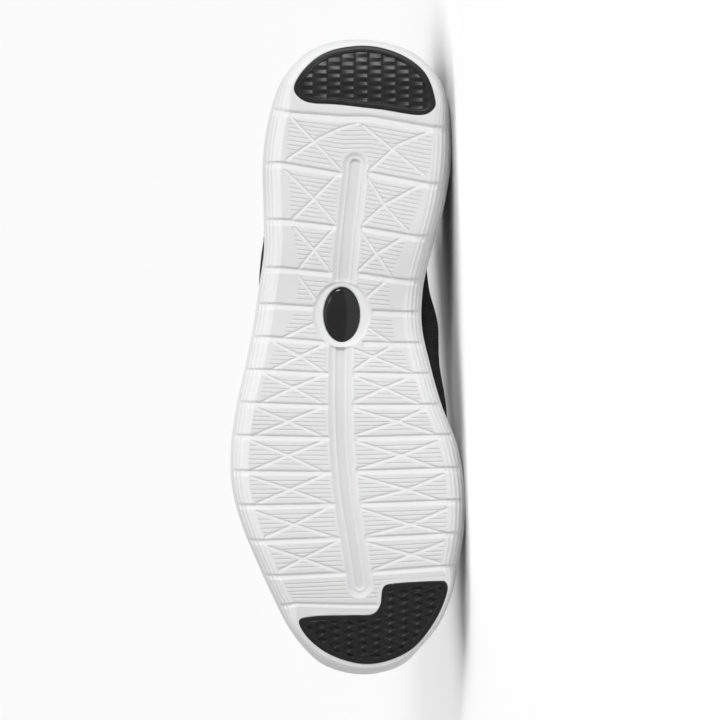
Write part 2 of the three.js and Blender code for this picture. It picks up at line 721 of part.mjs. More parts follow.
// Flat lace lying over the eyestay from one point of the instep to another
function laceRun(from, to, over) {
  const steps = 4;
  const lift = eyestayStep + 3 * clearance + laceThickness / 2;
  const past = 0.06;
  const rings = [];
  for (let i = 0; i <= steps; i += 1) {
    const t = THREE.MathUtils.lerp(-past, 1 + past, i / steps);
    const x = THREE.MathUtils.lerp(from.x, to.x, t);
    const y = THREE.MathUtils.lerp(from.y, to.y, t);
    const normal = skinNormal(x, y);
    const high = lift + over * Math.sin(Math.PI * THREE.MathUtils.clamp(t, 0, 1));
    const center = new THREE.Vector3(x, y, skinHeight(x, y, 0)).addScaledVector(normal, high);
    const along = new THREE.Vector3(to.x - from.x, to.y - from.y, 0).normalize();
    const side = new THREE.Vector3().crossVectors(normal, along).normalize();
    const corner = (a, b) => {
      const wide = side.clone().multiplyScalar((a * laceWidth) / 2);
      return center.clone().add(wide).addScaledVector(normal, (b * laceThickness) / 2);
    };
    rings.push([corner(-1, -1), corner(1, -1), corner(1, 1), corner(-1, 1)]);
  }
  return bar(rings);
}

// Lace: a bar across the front pair of eyelets, then crossings up to the top pair
function laceSolid() {
  let solid = laceRun(eyelets[0][1].point, eyelets[0][-1].point, 0);
  for (let i = 0; i < eyeletCount - 1; i += 1) {
    for (const side of [1, -1]) {
      const over = side > 0 ? 0.85 * laceThickness : 0;
      solid = solid.add(laceRun(eyelets[i][side].point, eyelets[i + 1][-side].point, over));
    }
  }
  return solid;
}

// Moulded sole: body, seat of the upper, recesses of the inserts, badge ring, channel and grooves
function soleSolid() {
  let solid = soleBody().subtract(lastForm(-clearance, clearance));
  const recess = treadLayer(-cutBelow, podDepth + clearance);
  for (const rows of [heelPodRows, toePodRows]) {
    solid = solid.subtract(recess.intersect(prism(insertOutline(rows, clearance), -heelRim, heelRim)));
  }
  const base = treadHeight(badgeCenter.x, badgeCenter.y);
  const ring = ellipseOutline(badgeCenter, ringHalfLength, ringHalfWidth, 28);
  solid = solid.subtract(prism(ring, base - cutBelow, base + badgeRingDepth));
  const seat = ellipseOutline(badgeCenter, badgeLength / 2 + clearance, badgeWidth / 2 + clearance, 24);
  solid = solid.subtract(prism(seat, base - cutBelow, base + badgeRingDepth + badgeSeat));
  solid = solid.subtract(channelGroove(troughWidth, troughDepth));
  solid = solid.subtract(channelGroove(slotWidth, slotDepth));
  for (const [rows, side] of [[lateralFlexRows, 1], [medialFlexRows, -1]]) {
    rows.forEach((row, index) => {
      solid = solid.subtract(flexGroove(row, index, side));
    });
  }
  const lastX = lastFlexAt * length;
  const start = new THREE.Vector2(lastX, wallAcross(lastX, 1) + grooveMargin);
  const end = new THREE.Vector2(lastX - 0.5 * flexWidth, -lastFlexEnd * ballWidth);
  return solid.subtract(groove(groovePoints(start, end, flexWidth, 4), flexWidth, flexDepth));
}

// Rubber insert standing a little proud of the tread
function podSolid(rows) {
  return treadLayer(-podProud, podDepth).intersect(prism(insertOutline(rows, 0), -heelRim, heelRim));
}

// Plain domed badge in its ring
function badgeSolid() {
  const base = treadHeight(badgeCenter.x, badgeCenter.y) + badgeRingDepth;
  const top = base + badgeSeat - clearance;
  const profile = [new THREE.Vector2(0, top)];
  profile.push(new THREE.Vector2(1, top), new THREE.Vector2(1, base - badgeRingDepth * badgeEdgeShare));
  for (const angle of [0.35, 0.7, 1.1]) {
    const drop = badgeDome * Math.sin(angle);
    profile.push(new THREE.Vector2(Math.cos(angle), base - badgeRingDepth * badgeEdgeShare - drop));
  }
  profile.push(new THREE.Vector2(0, base - badgeRingDepth * badgeEdgeShare - badgeDome));
  const geometry = new THREE.LatheGeometry(profile.reverse(), 20);
  geometry.rotateX(Math.PI / 2);
  geometry.scale(badgeLength / 2, badgeWidth / 2, 1);
  geometry.translate(badgeCenter.x, badgeCenter.y, 0);
  return toSolid(geometry);
}

const pieces = [
  ["sole", soleSolid(), foam],
  ["heel_pod", podSolid(heelPodRows), rubber],
  ["toe_pod", podSolid(toePodRows), rubber],
  ["badge", badgeSolid(), gloss],
  ["upper", upperSolid(), knit],
  ["insole", insoleSolid(), padding],
  ["tongue", tongueSolid(), knit],
  ["laces", laceSolid(), cord],
];

const shoe = new THREE.Group();
const corners = [];
const balance = new THREE.Vector3();
let mass = 0;
for (const [name, solid, { color, roughness, density }] of pieces) {
  const material = new THREE.MeshStandardMaterial({ color, roughness, metalness: 0 });
  const mesh = new THREE.Mesh(toGeometry(solid), material);
  mesh.name = name;
  shoe.add(mesh);
  const position = mesh.geometry.getAttribute("position");
  const index = mesh.geometry.getIndex().array;
  const corner = (i) => new THREE.Vector3().fromBufferAttribute(position, i);
  for (let i = 0; i < position.count; i += 1) corners.push(corner(i));
  for (let i = 0; i < index.length; i += 3) {
    const [a, b, c] = [corner(index[i]), corner(index[i + 1]), corner(index[i + 2])];
    const share = (density * a.dot(new THREE.Vector3().crossVectors(b, c))) / 6;
    balance.addScaledVector(a.add(b).add(c), share / 4);
    mass += share;
  }
}
balance.divideScalar(mass);

// The shoe lies on its inner side, on the face of its hull that lies nearest its centre of mass
const hull = new ConvexHull().setFromPoints(corners);
const innerSide = new THREE.Vector3(0, -1, 0);
let lying = null;
for (const face of hull.faces) {
  const height = face.constant - face.normal.dot(balance);
  const facing = face.normal.dot(innerSide);
  if (facing > 0.7 && (lying === null || height < lying.height)) {
    lying = { height, normal: face.normal.clone() };
  }
}
const down = lying.normal;
const toe = new THREE.Vector3(1, 0, 0).projectOnPlane(down).normalize();
const upward = down.clone().negate();
const heelward = toe.clone().negate();
const deeper = new THREE.Vector3().crossVectors(upward, heelward);
const turned = new THREE.Matrix4().makeBasis(heelward, deeper, upward).transpose();
shoe.quaternion.setFromRotationMatrix(turned);

const model = new THREE.Group();
model.add(shoe);
const box = new THREE.Box3().setFromObject(model, true);
const center = box.getCenter(new THREE.Vector3());
shoe.position.set(-center.x, -center.y, -box.min.z);

export default model;
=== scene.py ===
import json
import math

import bmesh
import bpy
import numpy as np
from mathutils import Matrix, Vector


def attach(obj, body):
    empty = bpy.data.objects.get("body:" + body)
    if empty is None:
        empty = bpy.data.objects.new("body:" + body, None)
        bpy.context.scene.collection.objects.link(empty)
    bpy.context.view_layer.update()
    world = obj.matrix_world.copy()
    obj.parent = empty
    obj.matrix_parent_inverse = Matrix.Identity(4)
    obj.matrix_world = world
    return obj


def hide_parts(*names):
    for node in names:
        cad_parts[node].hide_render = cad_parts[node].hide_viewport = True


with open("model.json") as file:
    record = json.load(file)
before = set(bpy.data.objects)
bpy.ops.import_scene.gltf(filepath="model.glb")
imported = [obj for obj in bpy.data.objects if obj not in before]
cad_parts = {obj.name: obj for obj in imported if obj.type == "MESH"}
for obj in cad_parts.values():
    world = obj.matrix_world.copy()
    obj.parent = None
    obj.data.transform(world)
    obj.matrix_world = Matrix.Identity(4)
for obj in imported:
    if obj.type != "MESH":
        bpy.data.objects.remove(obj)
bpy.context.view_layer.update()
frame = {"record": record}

# Camera and shoe frame. The shoe lies on its inner side and the camera looks straight at its tread,
# heel up in the picture. Shoe places are written standing: x from heel to toe, y to the outer side,
# z up from the tread, and the two marks on the tread give that frame in the row.
length = 0.270
heel_mark_place = (0.045, 0.012)
ball_mark_place = (0.191, 0.020)
camera_distance = 3.2
picture_depth = 0.010
picture_side = 0.3049
picture_middle = (0.1364, -0.0021)

marks = {mount["name"]: mount for mount in frame["record"]["mounts"]}
heel_mark = Vector(marks["heel_tread"]["pos_m"])
ball_mark = Vector(marks["forefoot_tread"]["pos_m"])
shoe_up = -Vector(marks["heel_tread"]["axis"]).normalized()
mark_run = (ball_mark - heel_mark).normalized()
mark_side = shoe_up.cross(mark_run).normalized()
run_x, run_y = np.subtract(ball_mark_place, heel_mark_place)
toeward = (mark_run * run_x - mark_side * run_y).normalized()
outward = shoe_up.cross(toeward)
shoe_start = heel_mark - toeward * heel_mark_place[0] - outward * heel_mark_place[1]
shoe_turn = np.array([toeward, outward, shoe_up])


def in_row(points):
    """Row places of standing shoe places"""
    return np.asarray(points) @ shoe_turn + np.array(shoe_start)


camera_data = bpy.data.cameras.new("camera")
camera_data.sensor_width = 36
camera_data.lens = camera_data.sensor_width * camera_distance / picture_side
camera_data.clip_start, camera_data.clip_end = 0.05, 60
camera = bpy.data.objects.new("camera", camera_data)
bpy.context.scene.collection.objects.link(camera)
camera_axes = Matrix([-outward, -toeward, -shoe_up]).transposed().to_4x4()
camera_place = Vector(in_row((*picture_middle, picture_depth - camera_distance)))
camera.matrix_world = Matrix.Translation(camera_place) @ camera_axes
bpy.context.scene.camera = camera


# Studio: a pale floor and an even pale surround, a low soft sun that grazes the tread and a broad one
# from above, and a small lamp before the shoe.
def add_node(tree, kind, inputs=None, **settings):
    """One shader node, its settings, and its inputs linked or set"""
    node = tree.nodes.new(kind)
    for name, value in settings.items():
        setattr(node, name, value)
    for name, value in (inputs or {}).items():
        if isinstance(value, bpy.types.NodeSocket):
            tree.links.new(value, node.inputs[name])
        else:
            node.inputs[name].default_value = value
    return node


def new_finish(name, roughness, **sockets):
    """A material, its node tree and its shader, with the sockets that stay the same all over"""
    material = bpy.data.materials.new(name)
    material.use_nodes = True
    shader = material.node_tree.nodes["Principled BSDF"]
    shader.inputs["Roughness"].default_value = roughness
    for socket, value in sockets.items():
        shader.inputs[socket.replace("_", " ")].default_value = value
    return material, material.node_tree, shader


floor_half = 30
surround_strength = 0.42
# name, strength, degrees across and heading
sun_rows = (
    ("key_sun", 2.0, 14, (-0.6, 0.65, -0.25)),
    ("top_sun", 1.5, 60, (-0.1, 0.2, -1.0)),
)
fill_size, fill_watts = 0.2, 0.5
fill_place, fill_target = (0.35, -1.0, 0.7), (0, 0, 0.05)

floor_mesh = bmesh.new()
bmesh.ops.create_grid(floor_mesh, x_segments=1, y_segments=1, size=floor_half)
floor_data = bpy.data.meshes.new("floor")
floor_mesh.to_mesh(floor_data)
floor_mesh.free()
floor = bpy.data.objects.new("floor", floor_data)
bpy.context.scene.collection.objects.link(floor)
floor_finish, _, shader = new_finish("floor_pale", 0.9)
shader.inputs["Base Color"].default_value = (0.93, 0.93, 0.93, 1)
floor_data.materials.append(floor_finish)

surround = bpy.data.worlds.new("surround")
surround.use_nodes = True
surround.node_tree.nodes["Background"].inputs["Color"].default_value = (1, 1, 1, 1)
surround.node_tree.nodes["Background"].inputs["Strength"].default_value = surround_strength
bpy.context.scene.world = surround
bpy.context.scene.view_settings.view_transform = "Standard"

for name, strength, degrees, heading in sun_rows:
    sun_data = bpy.data.lights.new(name, "SUN")
    sun_data.energy, sun_data.angle = strength, math.radians(degrees)
    sun = bpy.data.objects.new(name, sun_data)
    sun.rotation_euler = Vector(heading).to_track_quat("-Z", "Y").to_euler()
    bpy.context.scene.collection.objects.link(sun)
fill_data = bpy.data.lights.new("front_fill", "AREA")
fill_data.size, fill_data.energy = fill_size, fill_watts
fill = bpy.data.objects.new("front_fill", fill_data)
fill.location = fill_place
fill.rotation_euler = (Vector(fill_target) - Vector(fill_place)).to_track_quat("-Z", "Y").to_euler()
bpy.context.scene.collection.objects.link(fill)

# Sole: one moulding of matte white foam. It is a cup, with a stepped rim round the upper, an open
# centre channel, flex grooves across, crossed grooves and fine ribs between them, and recesses for
# the badge and the two inserts.
ball_width = 0.0995
instep_height = 0.076
heel_seat = 0.022
heel_rim = 0.034
heel_bevel = 0.004
arch_rise = 0.003
arch_side_lift = 0.004
arch_side_from, arch_side_to = 0.35, 1.1
toe_spring = 0.014
rim_lean = 0.0018
rim_inset = 0.0046
rim_bend, lip_gap = 0.0004, 0.0009
arch_bulge = 0.005
feather_tuck = 0.0035
clearance = 0.0003
cup_gap = 1.5 * clearance
rim_smooth_rounds, flare_smooth_rounds = 900, 12
least_flare, pod_land = 0.2, 0.0004
bevel_end, arch_from, arch_to, spring_from = 0.075, 0.29, 0.6, 0.77
fan_heel, fan_toe = 0.14, 0.865
rib_pitch = 0.0018
rib_depth = 0.00012
# The last of these is how much darker the painted shade makes the ribbed field and the channel's trough.
rib_cut, cross_cut, painted_shade_depth = 0.16, 0.22, 0.055
rib_start = 0.033
flex_depth = 0.00095
flex_half, flex_widening, heel_flex_half = 0.00105, 0.0002, 0.0015
flex_taper = ((0.03, 0.09, 0.2, 0.24), (1.15, 1.1, 0.95, 0.8))
trench_fall = 0.42
half_tread = 0.042
cross_width, cross_far = 0.0017, 3.0
cross_depth = 0.0003
trough_half, trough_depth = 0.0053, 0.0011
slot_half_heel, slot_half_toe = 0.0023, 0.0017
slot_taper = (0.06, 0.2)
slot_depth, slot_edge = 0.0022, 0.0004
trough_floor_half, trough_flank = 0.0035, 0.0019
slot_lip, slot_lip_half = 0.0003, 0.0005
ring_half_length, ring_half_width, ring_depth = 0.0139, 0.0119, 0.0011
pod_recess = 0.0019
badge_half_length, badge_half_width, badge_seat = 0.0118, 0.0077, 0.0016

# share of the length; outer and inner side as shares of the ball width; how far the upper's widest
# line stands over each side
outline_rows = (
    (0.0, 0.0, 0.0, -1, -1), (0.012, 0.163, 0.198, -1, -1), (0.035, 0.25, 0.298, -1, -1),
    (0.07, 0.321, 0.37, -1, -1), (0.12, 0.366, 0.405, -1, -1), (0.19, 0.394, 0.409, -1, -1),
    (0.27, 0.391, 0.375, -0.4, -0.9), (0.335, 0.389, 0.325, 0.25, -0.35),
    (0.39, 0.41, 0.29, 0.05, 0.52), (0.45, 0.434, 0.284, -0.7, 1.39),
    (0.51, 0.466, 0.318, -1, 0.86), (0.575, 0.505, 0.368, -1, 0.42),
    (0.64, 0.529, 0.436, -1, -0.75), (0.7, 0.526, 0.465, -1, -1), (0.76, 0.486, 0.467, -1, -1),
    (0.82, 0.42, 0.443, -1, -1), (0.875, 0.353, 0.41, -1, -1), (0.92, 0.292, 0.358, -1, -1),
    (0.955, 0.225, 0.284, -1, -1), (0.985, 0.132, 0.198, -1, -1), (1.0, -0.036, 0.036, -1, -1),
)
# share of the length; seat, rim, widest line and top line of the upper; squareness of its section
height_rows = (
    (0.0, 1.05, 1.12, 0.48, 1.48, 2.7), (0.1, 1.0, 1.0, 0.47, 1.48, 2.7),
    (0.2, 0.98, 0.92, 0.47, 1.45, 2.7), (0.3, 0.95, 0.83, 0.48, 1.32, 2.4),
    (0.37, 0.9, 0.77, 0.49, 1.17, 2.15), (0.46, 0.82, 0.71, 0.48, 1.0, 2.0),
    (0.56, 0.69, 0.67, 0.43, 0.85, 2.0), (0.66, 0.6, 0.64, 0.37, 0.73, 2.1),
    (0.76, 0.58, 0.65, 0.35, 0.645, 2.25), (0.86, 0.65, 0.73, 0.365, 0.585, 2.4),
    (0.94, 0.79, 0.85, 0.4, 0.56, 2.5), (1.0, 0.96, 0.97, 0.43, 0.56, 2.5),
)
# inset from the widest line and share of the wall's height, from the widest line to the tread
flare_rows = (
    (0.0, 0.60), (0.0004, 0.57), (0.0010, 0.50), (0.00125, 0.405), (0.0015, 0.375), (0.00195, 0.36),
    (0.0024, 0.33), (0.00265, 0.215), (0.0029, 0.195), (0.0034, 0.185), (0.00395, 0.16),
    (0.0042, 0.078), (0.0046, 0.062), (0.0052, 0.052), (0.0057, 0.043), (0.0059, 0.018),
    (0.0066, 0.014), (0.0073, 0.011), (0.0075, 0.001), (0.0082, 0.0),
)
wall_rows = ((0.0, 0.7), (0.0003, 0.77), (0.0008, 0.86), (0.0013, 0.95), (0.0018, 1.0))
# share of the length and place across, to the inner side, of the centre channel
channel_rows = (
    (0.184, 0.004), (0.24, -0.011), (0.3325, -0.038), (0.433, -0.057), (0.568, -0.064),
    (0.646, -0.057), (0.725, -0.037), (0.803, -0.002), (0.868, 0.024),
)
channel_start, channel_stop = 0.199, 0.857
badge_row = 3
# flex grooves: outer edge, outer side of the channel, inner side of the channel, inner edge, and
# where the inner groove starts across
flex_rows = (
    (0.1145, 0.1271, 0.1271, 0.1443, 0.009), (0.1992, 0.2149, 0.2133, 0.2322, -0.0051),
    (0.2886, 0.298, 0.2996, 0.3145, -0.0021), (0.3639, 0.371, 0.3718, 0.3827, -0.0008),
    (0.4204, 0.4251, 0.429, 0.4322, -0.0068), (0.4714, 0.4784, 0.4784, 0.4808, -0.003),
    (0.5224, 0.5271, 0.5263, 0.5286, 0.0013), (0.5741, 0.5773, 0.5765, 0.5773, 0.0017),
    (0.6251, 0.6275, 0.6275, 0.6243, 0.0), (0.6808, 0.6816, 0.68, 0.6761, 0.0),
    (0.7341, 0.7318, 0.731, 0.7263, -0.0017), (0.789, 0.7843, 0.7843, 0.778, -0.0034),
    (0.8439, 0.8392, 0.8376, 0.829, -0.0068), (0.8925, 0.889, 0.889, 0.886, -0.002),
)
last_flex_stop = -0.0093
# ends of the ribs on the outer and inner side, in shoe millimetres
outer_rib_ends = (
    (33.9, 28.4), (51.7, 28.4), (68.6, 27.5), (85.5, 25.8), (98.3, 23.7), (111.0, 24.6),
    (119.4, 27.1), (130.0, 32.6), (136.4, 36.0), (144.8, 38.5), (153.3, 40.7), (161.8, 43.2),
    (170.2, 44.0), (178.7, 44.9), (187.2, 44.9), (195.7, 44.0), (204.1, 41.9), (212.6, 39.4),
    (221.1, 36.8), (229.5, 33.0), (238.0, 29.6),
)
inner_rib_ends = (
    (39.0, -33.0), (53.8, -31.8), (64.4, -29.2), (68.6, -28.0), (77.1, -24.6), (85.5, -21.6),
    (94.0, -18.2), (98.3, -16.5), (108.8, -14.4), (119.4, -15.2), (125.8, -16.9), (132.1, -19.5),
    (140.6, -24.1), (147.0, -27.1), (153.3, -30.1), (161.8, -33.5), (170.2, -36.0),
    (178.7, -37.7), (187.2, -39.4), (195.7, -40.2), (212.6, -40.2), (221.1, -39.8), (227.4, -39.0),
)
# middle lines of the crossed grooves, in shoe millimetres
cross_lines = (
    ((33.9, 27.1), (56.3, 5.9)), ((51.7, 28.8), (46.6, 21.2), (42.4, 14.8), (38.5, 6.4), (36.4, -1.3)),
    ((37.3, -3.4), (58.4, -29.2)), ((56.7, -5.5), (45.3, -18.2), (39.4, -32.6)),
    ((56.3, 29.6), (68.2, 17.4), (79.2, 8.0)), ((77.1, 26.7), (68.6, 17.8), (58.4, 7.6)),
    ((59.3, -5.1), (71.6, -12.7), (81.7, -22.0)), ((79.6, -2.5), (70.7, -12.3), (61.4, -29.6)),
    ((80.5, 25.8), (89.8, 17.4), (99.1, 10.6)), ((98.3, 24.1), (89.8, 17.4), (81.3, 9.3)),
    ((82.2, -2.5), (91.5, -8.9), (100.8, -15.2)), ((99.1, -0.8), (91.5, -8.9), (83.9, -21.2)),
    ((100.8, 24.1), (111.8, 16.1)), ((110.1, -4.7), (102.1, -14.0)),
    ((126.6, 29.6), (120.3, 16.5)), ((122.8, -5.5), (128.3, -14.0)),
    ((128.7, 34.7), (134.7, 23.3), (141.0, 13.6)), ((140.2, 34.7), (134.7, 23.3), (129.2, 11.9)),
    ((131.7, 0.8), (135.1, -8.0), (141.4, -23.3)), ((141.0, 1.3), (134.7, -8.0), (129.2, -17.8)),
    ((141.9, 39.4), (148.2, 25.8), (154.2, 14.8)), ((154.2, 39.4), (147.8, 25.8), (142.3, 12.7)),
    ((143.1, 0.8), (148.2, -12.3), (154.6, -26.7)), ((154.2, 1.3), (148.2, -12.3), (143.1, -24.1)),
    ((156.3, 42.4), (162.2, 28.4), (168.1, 14.8)), ((168.1, 42.4), (162.2, 28.4), (156.3, 14.0)),
    ((156.7, 1.3), (162.2, -17.8), (168.1, -35.2)), ((168.1, 0.0), (162.2, -17.8), (155.8, -31.8)),
    ((170.2, 44.5), (176.6, 28.4), (183.0, 14.8)), ((183.0, 43.6), (176.6, 28.4), (170.2, 12.7)),
    ((170.7, -0.4), (176.6, -19.5), (182.5, -36.0)), ((182.5, -0.8), (176.6, -19.5), (169.4, -38.1)),
    ((185.5, 44.5), (191.0, 27.5), (196.9, 10.6)), ((196.9, 41.5), (191.0, 27.5), (184.6, 12.7)),
    ((185.1, -0.8), (191.0, -22.0), (195.7, -36.0)), ((196.1, -2.1), (191.0, -22.0), (183.8, -39.4)),
    ((199.9, 43.2), (205.8, 25.8), (211.3, 8.5)), ((211.8, 39.4), (205.8, 25.8), (199.0, 12.3)),
    ((199.0, -2.1), (205.8, -23.3), (209.6, -38.1)), ((210.5, -4.7), (205.8, -23.3), (197.4, -42.8)),
    ((214.3, 39.4), (220.2, 22.0), (225.7, 6.4)), ((227.0, 35.2), (220.2, 22.0), (213.0, 7.6)),
    ((213.4, -4.7), (218.5, -23.7), (222.8, -38.1)), ((224.9, -7.6), (218.5, -23.7), (211.8, -41.1)),
)
# outlines of the two inserts: share of the length and place across, to the inner side
heel_pod_rows = (
    (0.082, -0.26), (0.058, -0.234), (0.028, -0.149), (0.015, -0.043), (0.014, 0.085),
    (0.03, 0.213), (0.056, 0.298), (0.09, 0.336), (0.108, 0.34), (0.1205, 0.298), (0.1128, 0.106),
    (0.1056, -0.064), (0.0992, -0.218),
)
toe_pod_rows = (
    (0.912, -0.238), (0.906, -0.183), (0.904, -0.021), (0.901, 0.081), (0.886, 0.108),
    (0.865, 0.114), (0.857, 0.128), (0.854, 0.165), (0.85, 0.362), (0.8505, 0.38), (0.857, 0.392),
    (0.866, 0.392), (0.91, 0.345), (0.96, 0.234), (0.982, 0.064), (0.967, -0.106), (0.935, -0.213),
)


def soft_step(value, low, high):
    """0 below low, 1 above high, and smooth between them"""
    share = np.clip((value - low) / (high - low), 0, 1)
    return share * share * (3 - 2 * share)


def read_rows(rows, column, at):
    """Smooth value of one column of a table at shares of the length"""
    places = np.array([row[0] for row in rows], float)
    values = np.array([row[column] for row in rows], float)
    slopes = np.gradient(values, places)
    slopes[1:-1] = (values[2:] - values[:-2]) / (places[2:] - places[:-2])
    at = np.clip(at, places[0], places[-1])
    i = np.clip(np.searchsorted(places, at) - 1, 0, len(places) - 2)
    span = places[i + 1] - places[i]
    t = (at - places[i]) / span
    bend = t * t * (3 - 2 * t)
    turn = (t**3 - 2 * t * t + t) * span * slopes[i] + (t**3 - t * t) * span * slopes[i + 1]
    return values[i] * (1 - bend) + values[i + 1] * bend + turn


def closed_curve(points, steps):
    """Smooth closed curve through plan points"""
    points = np.asarray(points, float)
    parts = []
    for i in range(len(points)):
        a, b, c, d = (points[(i + k) % len(points)] for k in (-1, 0, 1, 2))
        gap_a, gap_b, gap_c = (np.linalg.norm(q - p) ** 0.5 for p, q in ((a, b), (b, c), (c, d)))
        start = ((b - a) / gap_a - (c - a) / (gap_a + gap_b) + (c - b) / gap_b) * gap_b
        end = ((c - b) / gap_b - (d - b) / (gap_b + gap_c) + (d - c) / gap_c) * gap_b
        t = np.linspace(0, 1, steps, endpoint=False)[:, None]
        bend = 3 * (c - b) - 2 * start - end
        parts.append(b + start * t + bend * t**2 + (2 * (b - c) + start + end) * t**3)
    return np.vstack(parts)


outline_steps = 24
outer_points = [(row[0] * length, row[1] * ball_width) for row in outline_rows]
inner_points = [(row[0] * length, -row[2] * ball_width) for row in outline_rows]
outline = closed_curve(outer_points + inner_points[-2:0:-1], outline_steps)
toe_index = (len(outline_rows) - 1) * outline_steps
side_lines = {1: outline[: toe_index + 1], -1: np.vstack([outline[:1], outline[: toe_index - 1 : -1]])}
side_runs = {
    side: np.append(0, np.cumsum(np.linalg.norm(np.diff(line, axis=0), axis=1)))
    for side, line in side_lines.items()
}


def wall_across(x, side):
    return np.interp(x, side_lines[side][:, 0], side_lines[side][:, 1])


def middle_across(x):
    return (wall_across(x, 1) + wall_across(x, -1)) / 2


def fan(side, run):
    """Edge points of one side at runs along it, the points of the middle line that they fan out
    from, the directions outwards and the distances"""
    edge = np.stack([np.interp(run, side_runs[side], side_lines[side][:, k]) for k in (0, 1)], -1)
    x = np.clip(edge[..., 0], fan_heel * length, fan_toe * length)
    spine = np.stack([x, middle_across(x)], -1)
    reach = np.linalg.norm(edge - spine, axis=-1)
    return edge, spine, (edge - spine) / reach[..., None], reach


def run_at(side, x):
    return np.interp(x, side_lines[side][:, 0], side_runs[side])


def tread_height(x, y):
    """Underside of the sole: heel bevel, arch and toe spring"""
    at = x / length
    half = np.maximum((wall_across(x, 1) - wall_across(x, -1)) / 2, 0.001)
    inward = soft_step((middle_across(x) - y) / half, arch_side_from, arch_side_to)
    along = np.clip((at - arch_from) / (arch_to - arch_from), 0, 1)
    bevel = heel_bevel * np.maximum(0, 1 - at / bevel_end) ** 2
    spring = toe_spring * (np.maximum(0, at - spring_from) / (1 - spring_from)) ** 2
    return bevel + np.sin(math.pi * along) ** 2 * (arch_rise + arch_side_lift * inward) + spring


def upper_section(side, run, inset):
    """Sizes of the upper's section on one side, its skin moved inwards by inset"""
    edge, spine, out, reach = fan(side, run)
    at = edge[..., 0] / length
    over = read_rows(outline_rows, 3 if side > 0 else 4, at)
    wide = reach + over * np.where(over < 0, rim_inset, arch_bulge) - inset
    return {
        "edge": edge,
        "spine": spine,
        "out": out,
        "reach": reach,
        "wide": wide,
        "feather": wide - feather_tuck - np.maximum(over, 0) * arch_bulge,
        "seat": heel_seat * read_rows(height_rows, 1, at),
        "rim": heel_rim * read_rows(height_rows, 2, at),
        "bulge": instep_height * read_rows(height_rows, 3, at),
        "ridge": instep_height * read_rows(height_rows, 4, spine[..., 0] / length) - inset,
        "square": read_rows(height_rows, 5, at),
    }


def under_upper(section, distance):
    """Height of the upper's underside at a distance from the middle line"""
    share = (distance - section["feather"]) / (section["wide"] - section["feather"])
    share = np.clip(share, 0, 1)
    return section["seat"] + (section["bulge"] - section["seat"]) * (1 - np.sqrt(1 - share**2))


def grid_piece(name, *grids, maps=None, gone=None, second=None):
    """Piece from bmesh grids whose corners are moved to rows and columns of shoe places. maps gives
    each corner's pair of values by name, gone the faces left out, second those of the second
    material."""
    shape = bmesh.new()
    for points in grids:
        rows, columns = points.shape[:2]
        bmesh.ops.create_grid(shape, x_segments=columns - 1, y_segments=rows - 1, size=0.5)
    data = bpy.data.meshes.new(name)
    shape.to_mesh(data)
    shape.free()
    places = np.concatenate([points.reshape(-1, 3) for points in grids])
    data.vertices.foreach_set("co", in_row(places).ravel())
    corner_of = np.empty(len(data.loops), int)
    data.loops.foreach_get("vertex_index", corner_of)
    for map_name, parts in (maps or {}).items():
        values = np.concatenate([part.reshape(-1, 2) for part in parts])
        data.uv_layers.new(name=map_name).data.foreach_set("uv", values[corner_of].ravel())
    if second is not None:
        data.polygons.foreach_set("material_index", second.ravel().astype(int))
    if gone is not None:
        shape = bmesh.new()
        shape.from_mesh(data)
        shape.faces.ensure_lookup_table()
        left_out = [shape.faces[i] for i in np.nonzero(gone.ravel())[0]]
        bmesh.ops.delete(shape, geom=left_out, context="FACES")
        shape.to_mesh(data)
        shape.free()
    return finish_piece(name, data)


def finish_piece(name, data):
    """Object with merged doubles, faces pointing outwards and smooth shading"""
    shape = bmesh.new()
    shape.from_mesh(data)
    bmesh.ops.remove_doubles(shape, verts=shape.verts, dist=1e-6)
    bmesh.ops.dissolve_degenerate(shape, edges=shape.edges, dist=1e-7)
    bmesh.ops.recalc_face_normals(shape, faces=shape.faces)
    for face in shape.faces:
        face.smooth = True
    shape.to_mesh(data)
    shape.free()
    piece = bpy.data.objects.new(name, data)
    bpy.context.scene.collection.objects.link(piece)
    return piece


def line_distance(x, y, line):
    """Plan distance to a line of points"""
    best = np.full(np.shape(x), 1.0)
    for (ax, ay), (bx, by) in zip(line[:-1], line[1:]):
        run = (bx - ax) ** 2 + (by - ay) ** 2
        t = np.clip(((x - ax) * (bx - ax) + (y - ay) * (by - ay)) / run, 0, 1)
        best = np.minimum(best, np.hypot(x - ax - t * (bx - ax), y - ay - t * (by - ay)))
    return best


def inside_distance(x, y, loop):
    """Plan distance to a closed outline, positive inside it"""
    near = line_distance(x, y, np.vstack([loop, loop[:1]]))
    turns = np.zeros(np.shape(x), bool)
    for (ax, ay), (bx, by) in zip(loop, np.roll(loop, -1, axis=0)):
        if ay != by:
            turns ^= ((ay > y) != (by > y)) & (x < (bx - ax) * (y - ay) / (by - ay) + ax)
    return np.where(turns, near, -near)


